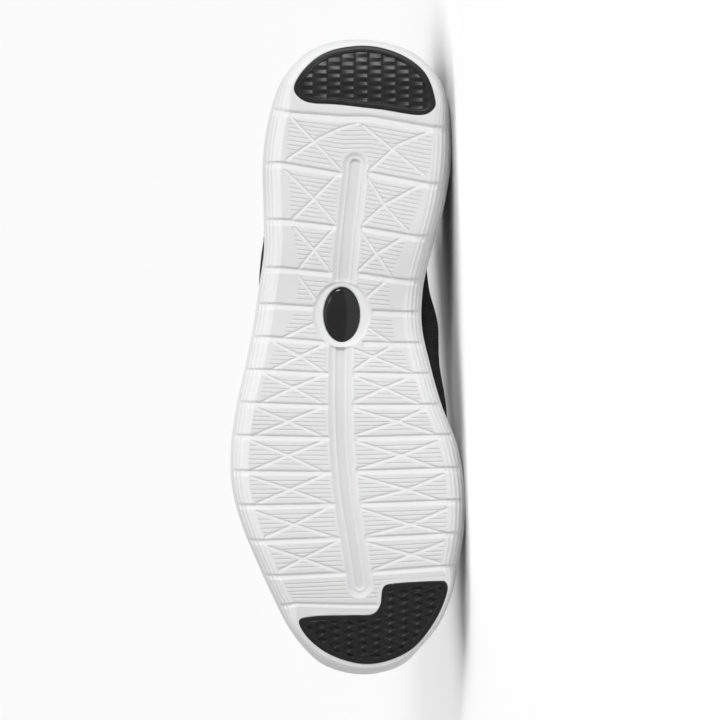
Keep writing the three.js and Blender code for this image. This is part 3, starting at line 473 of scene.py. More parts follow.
# Stations along the sole: a whole number is a flex groove, and the rows between follow the ribs. A wave
# is -1 in a flex groove, 0 on the line between two ribs and 1 on a rib. A phase counts the ribs.
groove_offsets = np.array([-1.6, -1.25, -0.9, -0.3, 0.4, 0.9, 1.25, 1.6]) * 0.001
rib_steps = 4
heel_rows, toe_rows = 40, 40
heel_station, toe_station = -9.0, 99.0
pod_curve_steps, channel_curve_steps = 12, 60
mean_flex = np.array([np.mean(row[:4]) for row in flex_rows]) * length
stations, waves, phases = [], [], []
rib_count = 0
for k in range(len(flex_rows)):
    before = mean_flex[k] - mean_flex[k - 1] if k else mean_flex[1] - mean_flex[0]
    after = mean_flex[k + 1] - mean_flex[k] if k < len(flex_rows) - 1 else before
    stations += [k + offset / (before if offset < 0 else after) for offset in groove_offsets]
    waves += [-1] * len(groove_offsets)
    phases += [rib_count if offset < 0 else 0 for offset in groove_offsets]
    if k < len(flex_rows) - 1:
        margin = groove_offsets[-1] / after
        rib_count = round((after - 2 * groove_offsets[-1]) / rib_pitch)
        steps = np.arange(1, rib_steps * rib_count)
        stations += list(k + margin + (1 - 2 * margin) * steps / (rib_steps * rib_count))
        waves += list(np.minimum(steps % rib_steps, 1))
        phases += list(steps / rib_steps)
stations, waves = np.array(stations), np.array(waves)


def station_x(column):
    """Place along of one column of the flex table at the stations"""
    places = np.array([row[column] for row in flex_rows]) * length
    inner = np.interp(stations, np.arange(len(places)), places)
    low = places[0] + np.minimum(stations, 0) * (places[1] - places[0])
    high = (stations - len(places) + 1) * (places[-1] - places[-2])
    return np.where(stations < 0, low, inner + np.maximum(high, 0))


edge_x = {1: station_x(0), -1: station_x(3)}
runs = {}
for side in (1, -1):
    middle_runs = run_at(side, edge_x[side])
    share = np.linspace(0, 1, heel_rows, endpoint=False)
    toe_share = np.linspace(0, 1, toe_rows, endpoint=False)[::-1]
    last = side_runs[side][-1]
    runs[side] = np.concatenate([
        middle_runs[0] * share, middle_runs, last - (last - middle_runs[-1]) * toe_share,
    ])
row_count = len(runs[1])
wave = np.concatenate([np.full(heel_rows, -1), waves, np.full(toe_rows, -1)])[:, None]
phase = np.concatenate([np.zeros(heel_rows), phases, np.zeros(toe_rows)])[:, None]
station = np.concatenate([np.full(heel_rows, heel_station), stations, np.full(toe_rows, toe_station)])
station = station[:, None]

flare_inset = flare_rows[-1][0]
sides = {side: upper_section(side, runs[side], 0) for side in (1, -1)}
pod_loops = {
    name: closed_curve([(at * length, -across * ball_width) for at, across in rows], pod_curve_steps)
    for name, rows in (("heel_pod", heel_pod_rows), ("toe_pod", toe_pod_rows))
}
flare_scale, flare_edges = {}, {}
for side, section in sides.items():
    from_pods = [-inside_distance(*section["edge"].T, loop) for loop in pod_loops.values()]
    from_pod = np.min(from_pods, axis=0)
    scale = np.clip((from_pod - pod_land) / flare_inset, least_flare, 1)
    for _ in range(flare_smooth_rounds):
        scale[1:-1] = np.minimum(scale[1:-1], (scale[:-2] + 2 * scale[1:-1] + scale[2:]) / 4)
    flare_scale[side] = scale
    flare_edges[side] = section["edge"] - section["out"] * (scale * flare_inset)[:, None]
end_half = flare_edges[1][:, 1] - flare_edges[-1][:, 1]
first, final = heel_rows, heel_rows + len(stations) - 1
squeeze = np.ones(row_count)
squeeze[:first] = end_half[:first] / end_half[first]
squeeze[final:] = end_half[final:] / end_half[final]
mean_edge = (flare_edges[1][:, 0] + flare_edges[-1][:, 0]) / 2
middle_x = {}
for side, column in ((1, 1), (-1, 2)):
    x = np.empty(row_count)
    x[first : final + 1] = station_x(column)
    blend = np.arange(first) / first
    x[:first] = mean_edge[:first] + (x[first] - mean_edge[first]) * blend
    blend = np.arange(row_count - final - 1)[::-1] / (row_count - final - 1)
    x[final + 1 :] = mean_edge[final + 1 :] + (x[final] - mean_edge[final]) * blend
    middle_x[side] = x


def channel_across(x):
    return -ball_width * read_rows(channel_rows, 1, x / length)


# Columns: over the cup and the rim, down the wall and the flare, and across the tread to the channel
tread_steps = 47
channel_offsets = np.array([
    5.75, 5.3, 4.85, 4.4, 3.9, 3.4, 3.0, 2.6, 2.2, 1.8, 1.4, 0.8, 0, -0.8, -1.4, -1.8, -2.2, -2.6,
    -3.0, -3.4, -3.9, -4.4, -4.85, -5.3, -5.75,
]) * 0.001
spine_x = (sides[1]["spine"][:, 0] + sides[-1]["spine"][:, 0]) / 2
spine_point = np.stack([spine_x, middle_across(spine_x)], -1)


def side_columns(side):
    """Shoe places of one side's columns, from the middle of the cup to the channel, and the inset
    of each from the widest line"""
    section = sides[side]
    edge, out, reach = section["edge"], section["out"], section["reach"]
    foot = flare_edges[side]
    base = tread_height(foot[:, 0], foot[:, 1])
    top = np.minimum(section["rim"], under_upper(section, reach - rim_lean) - cup_gap)
    for _ in range(rim_smooth_rounds):
        top[1:-1] = np.minimum(top[1:-1], (top[:-2] + 2 * top[1:-1] + top[2:]) / 4)
    rim_over_seat = section["rim"] + clearance - section["seat"]
    rise = 1 - np.clip(rim_over_seat / (section["bulge"] - section["seat"]), 0, 1)
    lip = section["feather"] + (section["wide"] - section["feather"]) * np.sqrt(1 - rise**2)
    lip = np.minimum(lip + clearance, reach - rim_lean - lip_gap)
    feather = np.minimum(section["feather"], lip)
    columns, insets = [], []
    edge_seat = section["seat"] - cup_gap
    for share in (0, 0.5):
        place = spine_point + (edge - out * (reach - feather)[:, None] - spine_point) * share
        seat = heel_seat * read_rows(height_rows, 1, place[:, 0] / length) - cup_gap
        columns.append(np.column_stack([place, np.minimum(seat, (seat + edge_seat) / 2)]))
    for share in (0, 0.45, 0.75, 1):
        distance = feather + (lip - feather) * share
        height = np.minimum(top, under_upper(section, distance - clearance) - cup_gap)
        columns.append(np.column_stack([edge - out * (reach - distance)[:, None], height]))
    columns.append(np.column_stack([edge - out * (rim_lean + rim_bend), top]))
    insets += [-1] * len(columns)
    for inset, up in wall_rows[::-1]:
        columns.append(np.column_stack([edge - out * inset, base + up * (top - base)]))
        insets.append(-1)
    for inset, up in flare_rows:
        place = edge - out * (inset * flare_scale[side])[:, None]
        columns.append(np.column_stack([place, base + up * (top - base)]))
        insets.append(inset)
    start = columns.pop()[:, :2]
    insets.pop()
    across = channel_offsets[0] * side
    middle_y = middle_across(middle_x[side])
    end_y = middle_y + (channel_across(middle_x[side]) + across - middle_y) * squeeze
    end = np.column_stack([middle_x[side], end_y])
    for step in range(tread_steps):
        place = start + (end - start) * step / tread_steps
        columns.append(np.column_stack([place, tread_height(place[:, 0], place[:, 1])]))
        insets.append(flare_inset)
    return columns, insets, end


outer_columns, outer_insets, outer_end = side_columns(1)
inner_columns, inner_insets, inner_end = side_columns(-1)
middle_columns = []
for offset in channel_offsets:
    share = (channel_offsets[0] - offset) / (channel_offsets[0] - channel_offsets[-1])
    place = outer_end + (inner_end - outer_end) * share
    middle_columns.append(np.column_stack([place, tread_height(place[:, 0], place[:, 1])]))
sole_points = np.stack(outer_columns + middle_columns + inner_columns[::-1], axis=1)
insets = np.array(outer_insets + [flare_inset] * len(channel_offsets) + inner_insets[::-1])[None, :]
tread_mask = insets >= flare_inset - 1e-6
side_of = np.array([1] * len(outer_columns) + [0] * len(channel_offsets) + [-1] * len(inner_columns))

x, y = sole_points[..., 0], sole_points[..., 1]
channel_y = channel_across(x)
channel_line = [
    (at * length, channel_across(np.array(at * length)))
    for at in np.linspace(channel_start, channel_stop, channel_curve_steps)
]
channel_near = line_distance(x, y, channel_line)
badge_x = channel_rows[badge_row][0] * length
badge_y = float(channel_across(np.array(badge_x)))
ring_share = np.hypot((x - badge_x) / ring_half_length, (y - badge_y) / ring_half_width)
seat_share = np.hypot(
    (x - badge_x) / (badge_half_length + clearance), (y - badge_y) / (badge_half_width + clearance))
pod_inside = np.maximum(*(inside_distance(x, y, loop) for loop in pod_loops.values()))


def trench(off, half):
    """Share of a groove's depth at a distance toewards of its middle. The floor rises to the toe."""
    foot = 1 - trench_fall * np.clip((off + half * 0.7) / (half * 1.4), 0, 1)
    heel_flank = soft_step(off, -half * 1.15, -half * 0.75)
    return heel_flank * foot * (1 - soft_step(off, half * 0.75, half * 1.15))


# Flex grooves: a trench at each whole station, from the channel or its own start to the wall
nearest = np.clip(np.round(station), 0, len(flex_rows) - 1).astype(int)
gap = {
    column: np.gradient(np.array([row[column] for row in flex_rows])) * length for column in (0, 1, 2, 3)
}
edge_gap = np.where(side_of >= 0, gap[0][nearest], gap[3][nearest])
middle_gap = np.where(side_of >= 0, gap[1][nearest], gap[2][nearest])
toward_edge = np.clip(np.abs(y - channel_y) / half_tread, 0, 1)
groove_off = (station - nearest) * (middle_gap + (edge_gap - middle_gap) * toward_edge)
groove_half = (flex_half + flex_widening * toward_edge) * np.interp(x, *flex_taper)
groove_half = np.where(nearest == 0, heel_flex_half, groove_half)
groove_start = np.array([row[4] for row in flex_rows])[nearest]
inner_half = soft_step(groove_start - y, 0, 0.0006)
outer_half = soft_step(y - channel_y, trough_half - 0.0004, trough_half + 0.0002)
groove_mask = np.where(y > channel_y, outer_half, inner_half)
groove_mask = np.where(nearest == 0, 1.0, groove_mask)
last_flex = nearest == len(flex_rows) - 1
last_mask = soft_step(y, last_flex_stop - 0.0004, last_flex_stop + 0.0004)
groove_mask = np.where(last_flex, last_mask, groove_mask)
groove_fade = soft_step(insets, 0.0006, 0.0022)
groove = trench(groove_off, groove_half) * groove_mask * groove_fade
groove = np.where((station > heel_station) & (station < toe_station), groove, 0)

# Crossed grooves, and the distance to the nearest of them in millimetres
cross = np.zeros_like(x)
cross_near = np.full(x.shape, cross_far)
for line in cross_lines:
    near = line_distance(x * 1000, y * 1000, line) / 1000
    cross_near = np.minimum(cross_near, near * 1000)
    slope, start_x = np.polyfit([spot[1] for spot in line], [spot[0] for spot in line], 1)
    toe_side = np.sign(x * 1000 - slope * y * 1000 - start_x)
    cross = np.maximum(cross, trench(near * toe_side, cross_width / 2))
cross = cross * tread_mask

# Ribs, kept off the channel, the ring and the inserts
outer_end_y = np.interp(x, *np.array(outer_rib_ends).T * 0.001)
inner_end_y = np.interp(x, *np.array(inner_rib_ends).T * 0.001)
rib_mask = soft_step(outer_end_y - y, -0.0003, 0.0005) * soft_step(y - inner_end_y, -0.0003, 0.0005)
rib_mask *= soft_step(channel_near, trough_half + 0.0004, trough_half + 0.0012)
rib_mask *= soft_step(ring_share, 1.02, 1.12) * (1 - soft_step(pod_inside, -0.0022, -0.0014))
rib_mask *= (x > rib_start) & tread_mask & (wave >= 0)
ribs = (1 - wave) * rib_mask * (1 - cross) * (1 - groove)

# Channel with its slot and the low lip along it, badge ring and seat, and the inserts' recesses
trough = (1 - np.clip((channel_near - trough_floor_half) / trough_flank, 0, 1)) * trough_depth
slot_half = np.interp(x, slot_taper, [slot_half_heel, slot_half_toe])
slot = 1 - soft_step(channel_near, slot_half - slot_edge, slot_half + slot_edge)
lip_off = np.abs(channel_near - slot_half - slot_edge) / slot_lip_half
slot = slot * (slot_depth - trough_depth) - slot_lip * np.clip(1 - lip_off, 0, 1)
ring = (1 - soft_step(ring_share, 0.95, 1.03)) * ring_depth
seat = (1 - soft_step(seat_share, 0.9, 0.99)) * badge_seat
recess = soft_step(pod_inside, 0.0007, 0.0016) * pod_recess
relief = np.maximum(groove * flex_depth, cross * cross_depth)
relief = np.maximum(relief * (1 - soft_step(-ring_share, -1.03, -0.99)), ribs * rib_depth)
relief = np.maximum(relief * soft_step(channel_near, trough_half - 0.0006, trough_half), trough + slot)
at_ring = np.maximum(ring + seat, relief * soft_step(ring_share, 1.0, 1.04))
relief = np.where(ring_share < 1.04, at_ring, relief)
relief = np.where(pod_inside > -0.0006, recess, relief) * (insets > 0)
sole_points[..., 2] += relief

# Both ends of the grid close on the heel's and the toe's edge lines, and its long sides in the cup
sole_points[:, -1] = sole_points[:, 0]

# Maps for the foam: the rib's phase, the distances to crossed grooves and slot in millimetres, and
# where each counts. They steer the foam's bump and its painted shade and painted highlight lines.
open_tread = tread_mask * soft_step(channel_near, trough_half - 0.0002, trough_half + 0.0004)
open_tread *= soft_step(ring_share, 1.0, 1.04) * (1 - groove)
open_tread *= 1 - soft_step(pod_inside, -0.0012, -0.0004)
rib_map = np.stack([np.repeat(phase, x.shape[1], 1), rib_mask * (1 - groove)], -1)
cross_map = np.stack([cross_near, open_tread], -1)
in_trough = 1 - soft_step(channel_near, trough_half - 0.0004, trough_half + 0.0002)
in_trough = in_trough * soft_step(ring_share, 1.0, 1.04) * tread_mask
channel_map = np.stack([(channel_near - slot_half) * 1000, in_trough], -1)
sole = grid_piece(
    "sole_foam_cup", sole_points,
    maps={"ribs": [rib_map], "crosses": [cross_map], "channel": [channel_map]},
)


def math_node(tree, operation, a, b=0.0):
    """Result of one sum on the surface's values"""
    return add_node(tree, "ShaderNodeMath", {0: a, 1: b}, operation=operation).outputs[0]


def map_parts(tree, name):
    """Both values of one of the piece's own maps"""
    way = add_node(tree, "ShaderNodeUVMap", uv_map=name).outputs["UV"]
    part = add_node(tree, "ShaderNodeSeparateXYZ", {"Vector": way})
    return part.outputs["X"], part.outputs["Y"]


def fade_node(tree, value, start, end):
    """1 below start, 0 above end"""
    return add_node(tree, "ShaderNodeMapRange", {
        "Value": value, "From Min": start, "From Max": end, "To Min": 1.0, "To Max": 0.0,
    }, interpolation_type="SMOOTHSTEP").outputs["Result"]


# Painted shade: the open ribbed field and the channel's trough and slot are painted a little darker than
# the foam, so the flex grooves, the crossed grooves and a line along the slot's lips stay lighter, as a
# painted highlight
foam_white, foam_cloud, foam_grain = 0.595, 0.04, 0.02
foam, tree, shader = new_finish("sole_foam", 0.55, Specular_IOR_Level=0.25)
place = add_node(tree, "ShaderNodeTexCoord").outputs["Object"]
cloud = add_node(tree, "ShaderNodeTexNoise", {"Vector": place, "Scale": 35, "Detail": 3})
rib_phase, rib_here = map_parts(tree, "ribs")
rib_line = fade_node(tree, math_node(tree, "PINGPONG", rib_phase, 0.5), 0.02, 0.2)
rib_line = math_node(tree, "MULTIPLY", rib_line, rib_here)
cross_off, field_here = map_parts(tree, "crosses")
cross_line = math_node(tree, "MULTIPLY", fade_node(tree, cross_off, 0.4, 0.8), field_here)
slot_off, trough_here = map_parts(tree, "channel")
from_lip = math_node(tree, "ABSOLUTE", math_node(tree, "SUBTRACT", slot_off, 0.3))
slot_line = fade_node(tree, from_lip, 0.3, 0.7)
# Painted shade: darker over the open ribbed field and the trough and slot, but not on the groove lines or
# along the slot's lips, which stay lighter as a painted highlight.
painted_shade = math_node(
    tree, "MAXIMUM", math_node(tree, "SUBTRACT", field_here, cross_line),
    math_node(tree, "MULTIPLY", trough_here, math_node(tree, "SUBTRACT", 1.0, slot_line)))
white = math_node(tree, "ADD", math_node(tree, "MULTIPLY", cloud.outputs["Fac"], foam_cloud), foam_white)
white = math_node(tree, "SUBTRACT", white, math_node(tree, "MULTIPLY", painted_shade, painted_shade_depth))
tint = add_node(tree, "ShaderNodeCombineColor", {"Red": white, "Green": white, "Blue": white})
tree.links.new(tint.outputs["Color"], shader.inputs["Base Color"])
grain = add_node(tree, "ShaderNodeTexNoise", {"Vector": place, "Scale": 2600, "Detail": 4})
cut = math_node(
    tree, "MAXIMUM", math_node(tree, "MULTIPLY", rib_line, rib_cut),
    math_node(tree, "MULTIPLY", cross_line, cross_cut))
level = math_node(tree, "SUBTRACT", math_node(tree, "MULTIPLY", grain.outputs["Fac"], foam_grain), cut)
bump = add_node(tree, "ShaderNodeBump", {"Height": level, "Distance": 0.001, "Strength": 1.0})
tree.links.new(bump.outputs["Normal"], shader.inputs["Normal"])
sole.data.materials.append(foam)
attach(sole, "root")
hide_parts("sole")

# Inserts: two moulded pads of black rubber, bonded into the tread at heel and toe. Each has a smooth
# raised border with a fine line inside it. The heel's field has columns of overlapping scales, the
# toe's has lozenges.
pod_proud = 0.0005
pod_border = 0.0021
pod_edge_round = 0.0006
dimple_width = 0.0058
dimple_pitch = 0.0034
dimple_depth = 0.0008
border_line_width, border_line_depth = 0.0002, 0.00022
field_from, field_full, field_floor = pod_border + 0.0002, pod_border + 0.0006, 0.00012
plug_from, plug_full, plug_depth = 0.0019, 0.0029, 0.0014
pod_back_gap, pod_least = 0.00004, 0.0002
row_crowding, column_crowding = 0.35, 0.3
# name, rows and columns of its mesh, and whether its field has scales
pod_rows = (("heel_pod", 210, 110, True), ("toe_pod", 200, 120, False))


def pod_piece(name, loop, rows, columns, scaled):
    """Pad over its outline: front, rounded edge and a plug at the back, in one closed form. Its
    dimples are scales or lozenges."""
    start, end = loop[:, 1].min(), loop[:, 1].max()
    row_share = np.linspace(0, 1, rows)
    crowded = (1 - np.cos(math.pi * row_share)) / 2
    lines_y = start + (end - start) * (row_crowding * crowded + (1 - row_crowding) * row_share)
    lines_y[0] += pod_back_gap
    lines_y[-1] -= pod_back_gap
    x_low, x_high = np.empty(rows), np.empty(rows)
    for i, line_y in enumerate(lines_y):
        ax, ay = loop[:, 0], loop[:, 1]
        bx, by = np.roll(ax, -1), np.roll(ay, -1)
        hit = (ay > line_y) != (by > line_y)
        cuts = ax[hit] + (line_y - ay[hit]) / (by[hit] - ay[hit]) * (bx[hit] - ax[hit])
        x_low[i], x_high[i] = cuts.min(), cuts.max()
    column_share = np.linspace(0, 1, columns)
    crowded = (1 - np.cos(math.pi * column_share)) / 2
    column_share = column_crowding * crowded + (1 - column_crowding) * column_share
    x = x_low[:, None] + (x_high - x_low)[:, None] * column_share[None, :]
    y = np.repeat(lines_y[:, None], columns, axis=1)
    inside = np.maximum(inside_distance(x, y, loop), 0)
    edge_drop = pod_proud * (1 - np.sqrt(1 - np.clip(1 - inside / pod_edge_round, 0, 1) ** 2))
    u = -y / dimple_width
    column = np.floor(u)
    v = x / dimple_pitch + 0.5 * np.mod(column, 2)
    a, b = u - column, np.abs(2 * (v - np.floor(v)) - 1)
    if scaled:
        ramp = a * (1 - soft_step(a, 0.93, 1))
        wedge = 1 - ramp * (0.3 + 0.7 * b)
    else:
        wedge = soft_step(1 - np.abs(2 * a - 1) ** 1.2 - b, 0, 0.45) * (1.1 - 0.5 * b)
    field = soft_step(inside, field_from, field_full)
    line = np.exp(-(((inside - pod_border) / border_line_width) ** 2))
    front = tread_height(x, y) - pod_proud + edge_drop
    front = front + field * (wedge * dimple_depth + field_floor) + line * border_line_depth
    plug = soft_step(inside, plug_from, plug_full) * plug_depth
    back = tread_height(x, y) - pod_back_gap + plug
    front_grid = np.stack([x, y, front], -1)
    back_grid = np.stack([x, y, np.maximum(back, front + pod_least)], -1)
    points = np.concatenate([front_grid, back_grid[:, ::-1]], axis=1)
    points = np.concatenate([points, points[:, :1]], axis=1)
    caps = []
    for row in (points[0], points[-1]):
        middle = (row[:columns] + row[2 * columns - 1 : columns - 1 : -1]) / 2
        caps.append(np.concatenate([middle, middle[::-1], middle[:1]])[None])
    return grid_piece(name, np.concatenate([caps[0], points, caps[1]], axis=0))


def two_tones(tree, shader, share, dark, light):
    """Base colour that runs between two tones"""
    tone = add_node(tree, "ShaderNodeMix", {"Factor": share}, data_type="RGBA")
    tone.inputs["A"].default_value = (*dark, 1)
    tone.inputs["B"].default_value = (*light, 1)
    tree.links.new(tone.outputs["Result"], shader.inputs["Base Color"])


rubber, tree, shader = new_finish("insert_rubber", 0.38, Specular_IOR_Level=0.3)
place = add_node(tree, "ShaderNodeTexCoord").outputs["Object"]
cloud = add_node(tree, "ShaderNodeTexNoise", {"Vector": place, "Scale": 220, "Detail": 3})
two_tones(tree, shader, cloud.outputs["Fac"], (0.0045, 0.0045, 0.005), (0.009, 0.009, 0.0095))
rough = add_node(tree, "ShaderNodeMapRange", {
    "Value": cloud.outputs["Fac"], "To Min": 0.3, "To Max": 0.44})
tree.links.new(rough.outputs["Result"], shader.inputs["Roughness"])
grain = add_node(tree, "ShaderNodeTexNoise", {"Vector": place, "Scale": 3200, "Detail": 3})
bump = add_node(tree, "ShaderNodeBump", {
    "Height": grain.outputs["Fac"], "Distance": 0.00005, "Strength": 0.6})
tree.links.new(bump.outputs["Normal"], shader.inputs["Normal"])
for name, rows, columns, scaled in pod_rows:
    pod = pod_piece(name + "_rubber", pod_loops[name], rows, columns, scaled)
    pod.data.materials.append(rubber)
    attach(pod, "root")
    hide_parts(name)

# Badge: an oval cap of glossy black resin, domed, with a fine step round its edge, set in the ring
# at the middle of the tread. It stays plain.
badge_dome = 0.0013
badge_base = float(tread_height(np.array(badge_x), np.array(badge_y))) + ring_depth
dome_steps, spin_steps = 14, 96
dome_turn, dome_share = 1.15, 0.88
badge_depth = 0.0011
profile = [(0, -badge_dome)]
for step in range(1, dome_steps + 1):
    angle = dome_turn * step / dome_steps
    across = dome_share * math.sin(angle) / math.sin(dome_turn)
    profile.append((across, -badge_dome * math.cos(angle)))
profile += [(0.9, -0.00042), (0.92, -0.0004), (0.97, -0.0004), (0.99, -0.00025)]
profile += [(1, 0), (1, badge_depth), (0, badge_depth)]
shape = bmesh.new()
corners = [shape.verts.new((across, 0, height)) for across, height in profile]
edges = [shape.edges.new(pair) for pair in zip(corners[:-1], corners[1:])]
bmesh.ops.spin(
    shape, geom=corners + edges, cent=(0, 0, 0), axis=(0, 0, 1), angle=2 * math.pi, steps=spin_steps,
    use_merge=True,
)
badge_data = bpy.data.meshes.new("badge")
shape.to_mesh(badge_data)
shape.free()
places = np.array([tuple(vertex.co) for vertex in badge_data.vertices])
places = places * (badge_half_length, badge_half_width, 1) + (badge_x, badge_y, badge_base)
badge_data.vertices.foreach_set("co", in_row(places).ravel())
badge = finish_piece("badge_cap", badge_data)
gloss, tree, shader = new_finish(
    "badge_gloss", 0.15, Specular_IOR_Level=0.12, Coat_Weight=0.4, Coat_Roughness=0.05)
place = add_node(tree, "ShaderNodeTexCoord").outputs["Object"]
cloud = add_node(tree, "ShaderNodeTexNoise", {"Vector": place, "Scale": 120, "Detail": 2})
two_tones(tree, shader, cloud.outputs["Fac"], (0.009, 0.009, 0.010), (0.014, 0.014, 0.015))
bump = add_node(tree, "ShaderNodeBump", {
    "Height": cloud.outputs["Fac"], "Distance": 0.00003, "Strength": 0.3})
tree.links.new(bump.outputs["Normal"], shader.inputs["Normal"])
badge.data.materials.append(gloss)
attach(badge, "root")
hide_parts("badge")

# Upper: a boot of black yarn knitted in one piece, lasted over the foot and bonded into the cup. A
# padded cuff rings the collar, and a raised stay along the throat carries five pairs of eyelets.
upper_wall = 0.0025
eyestay_step = 0.0009
cuff_height, cuff_roll = 0.013, 0.0007
cuff_step, cuff_step_share = 0.0012, 0.12
throat_front, throat_back = 0.16875, 0.07395
collar_front = 0.1
throat_half, throat_round = 0.012, 0.0096
stay_half, stay_round = 0.029, 0.0232
stay_foot = 0.0408
eyelet_pairs = 5
eyelet_half = 0.002
eyelet_reach, eyelet_depth, eyelet_bridge = 0.0042, 0.008, 0.006
eyelet_rim, eyelet_rim_off, eyelet_rim_width = 0.0003, 0.003, 0.0006
eyelet_inset = 0.017 * 0.42
first_eyelet, last_eyelet = throat_front - 1.1 * throat_half, 0.11195
# share of the length, and height of the collar's edge as a share of the instep height
collar_rows = (
    (-0.03, 1.09), (0.02, 1.07), (0.07, 0.99), (0.13, 0.89), (0.2, 0.845), (0.27, 0.87),
    (0.33, 0.97), (0.375, 1.12), (0.4, 1.3),
)
# soft creases where the knit bends: depth and width in millimetres, and places as shoe millimetres
# along, the side, and the share of the way from the widest line to the top
crease_rows = (
    (0.9, 3.6, (
        (178, 1, 0.12), (186, 1, 0.4), (190, 1, 0.75), (190, -1, 0.9), (186, -1, 0.5), (179, -1, 0.15))),
    (0.7, 3.0, (
        (193, 1, 0.2), (199, 1, 0.5), (202, 1, 0.85), (202, -1, 0.8), (198, -1, 0.45), (192, -1, 0.2))),
    (0.5, 2.6, ((207, 1, 0.35), (211, 1, 0.7), (212, -1, 0.9), (209, -1, 0.5))),
    (0.8, 3.4, ((122, 1, 0.08), (130, 1, 0.22), (137, 1, 0.42))),
    (0.6, 2.8, ((110, 1, 0.1), (117, 1, 0.25), (121, 1, 0.4))),
    (0.8, 3.4, ((118, -1, 0.1), (127, -1, 0.25), (134, -1, 0.45))),
    (0.6, 2.8, ((106, -1, 0.12), (112, -1, 0.26), (117, -1, 0.4))),
    (0.6, 3.2, ((44, 1, 0.2), (56, 1, 0.3), (70, 1, 0.26), (82, 1, 0.16))),
    (0.6, 3.2, ((46, -1, 0.24), (58, -1, 0.32), (72, -1, 0.24), (84, -1, 0.14))),
)
crease_fade = 0.011
crease_ridge, crease_ridge_off = 0.4, 1.8
crease_stay_stop, crease_cuff_stop = (-0.004, 0.002), (0, 0.2)
corner_smooth_rounds = 6
floor_clearance = 0.0001
rim_round = upper_wall / 2
throat_centre = throat_front - throat_round


def collar_height(x):
    return instep_height * read_rows(collar_rows, 1, x / length)


def throat_inside(x, y, half, front_round):
    """Plan distance inside an outline round the throat, open towards the collar"""
    off = np.abs(y - middle_across(x))
    side = np.interp(x, [throat_back, throat_centre], [half, front_round]) - off
    return np.where(x > throat_centre, front_round - np.hypot(x - throat_centre, off), side)


def opening(x, y, z):
    """Positive inside the opening of the collar or of the throat"""
    collar = np.where(x < collar_rows[-1][0] * length, z - collar_height(x) + rim_round, -1)
    throat = throat_inside(x, y, throat_half + rim_round, throat_round + rim_round)
    return np.maximum(collar, np.where(x < throat_back, -1, throat))


def skin_height(x, y, inset=0):
    """Height of the upper's plain skin over a plan place of the instep"""
    at, middle = x / length, middle_across(x)
    outer_side = y > middle
    over = np.where(outer_side, read_rows(outline_rows, 3, at), read_rows(outline_rows, 4, at))
    edge = np.where(outer_side, wall_across(x, 1), wall_across(x, -1))
    wide = np.abs(edge - middle) + over * np.where(over < 0, rim_inset, arch_bulge) - inset
    square = read_rows(height_rows, 5, at)
    low = instep_height * read_rows(height_rows, 3, at)
    high = instep_height * read_rows(height_rows, 4, at) - inset
    share = np.clip(np.abs(y - middle) / wide, 0, 1)
    return low + (high - low) * (1 - share**square) ** (1 / square)


def skin_normal(x, y, inset=0):
    step = 0.001
    slope_x = (skin_height(x + step, y, inset) - skin_height(x - step, y, inset)) / (2 * step)
    slope_y = (skin_height(x, y + step, inset) - skin_height(x, y - step, inset)) / (2 * step)
    normal = np.stack([-slope_x, -slope_y, np.ones_like(slope_x)], -1)
    return normal / np.linalg.norm(normal, axis=-1, keepdims=True)


def skin_places(section, share):
    """Places on the skin: -1 to 0 is its lower side, and 0 to 1 runs up to the top line"""
    sized = {k: v[:, None] for k, v in section.items() if v.ndim == 1}
    turn = (np.clip(share, -1, 0) + 1) * math.pi / 2
    angle = np.clip(share, 0, 1) * math.pi / 2
    low = sized["feather"] + (sized["wide"] - sized["feather"]) * np.sin(turn)
    low_z = sized["seat"] + (sized["bulge"] - sized["seat"]) * (1 - np.cos(turn))
    power = 2 / sized["square"]
    high = sized["wide"] * np.clip(np.cos(angle), 0, 1) ** power
    high_z = sized["bulge"] + (sized["ridge"] - sized["bulge"]) * np.sin(angle) ** power
    distance = np.where(share < 0, low, np.where(share >= 1, 0, high))
    plan = section["spine"][:, None, :] + section["out"][:, None, :] * distance[..., None]
    return np.concatenate([plan, np.where(share < 0, low_z, high_z)[..., None]], -1)


def space_distance(points, line):
    """Distance of places to a line of places"""
    best = np.full(points.shape[:-1], 1.0)
    for start, end in zip(line[:-1], line[1:]):
        run = end - start
        t = np.clip(((points - start) @ run) / max(run @ run, 1e-12), 0, 1)
        best = np.minimum(best, np.linalg.norm(points - start - t[..., None] * run, axis=-1))
    return best


# Rows of the boot run from the heel along each side to the toe, and its columns from the seat up to
# the opening or the top line
fan_rows, collar_rows_count, throat_rows_count, turn_rows_count, toe_rows_count = 26, 45, 65, 15, 41
turn_angles = np.linspace(0, math.pi / 2, turn_rows_count + 1)
turn_x = throat_centre + (throat_round + rim_round) * np.sin(turn_angles)
body_x = np.concatenate([
    np.linspace(fan_heel * length, collar_front, collar_rows_count + 1),
    np.linspace(collar_front, throat_centre, throat_rows_count + 1)[1:],
    turn_x[1:], np.linspace(turn_x[-1], fan_toe * length, toe_rows_count + 1)[1:],
])
front_row = fan_rows + collar_rows_count + throat_rows_count + turn_rows_count
skin_columns = 84
under_samples, skin_samples = 30, 240
samples = np.linspace(-1, 0, under_samples, endpoint=False)
samples = np.concatenate([samples, np.linspace(0, 1, skin_samples)])
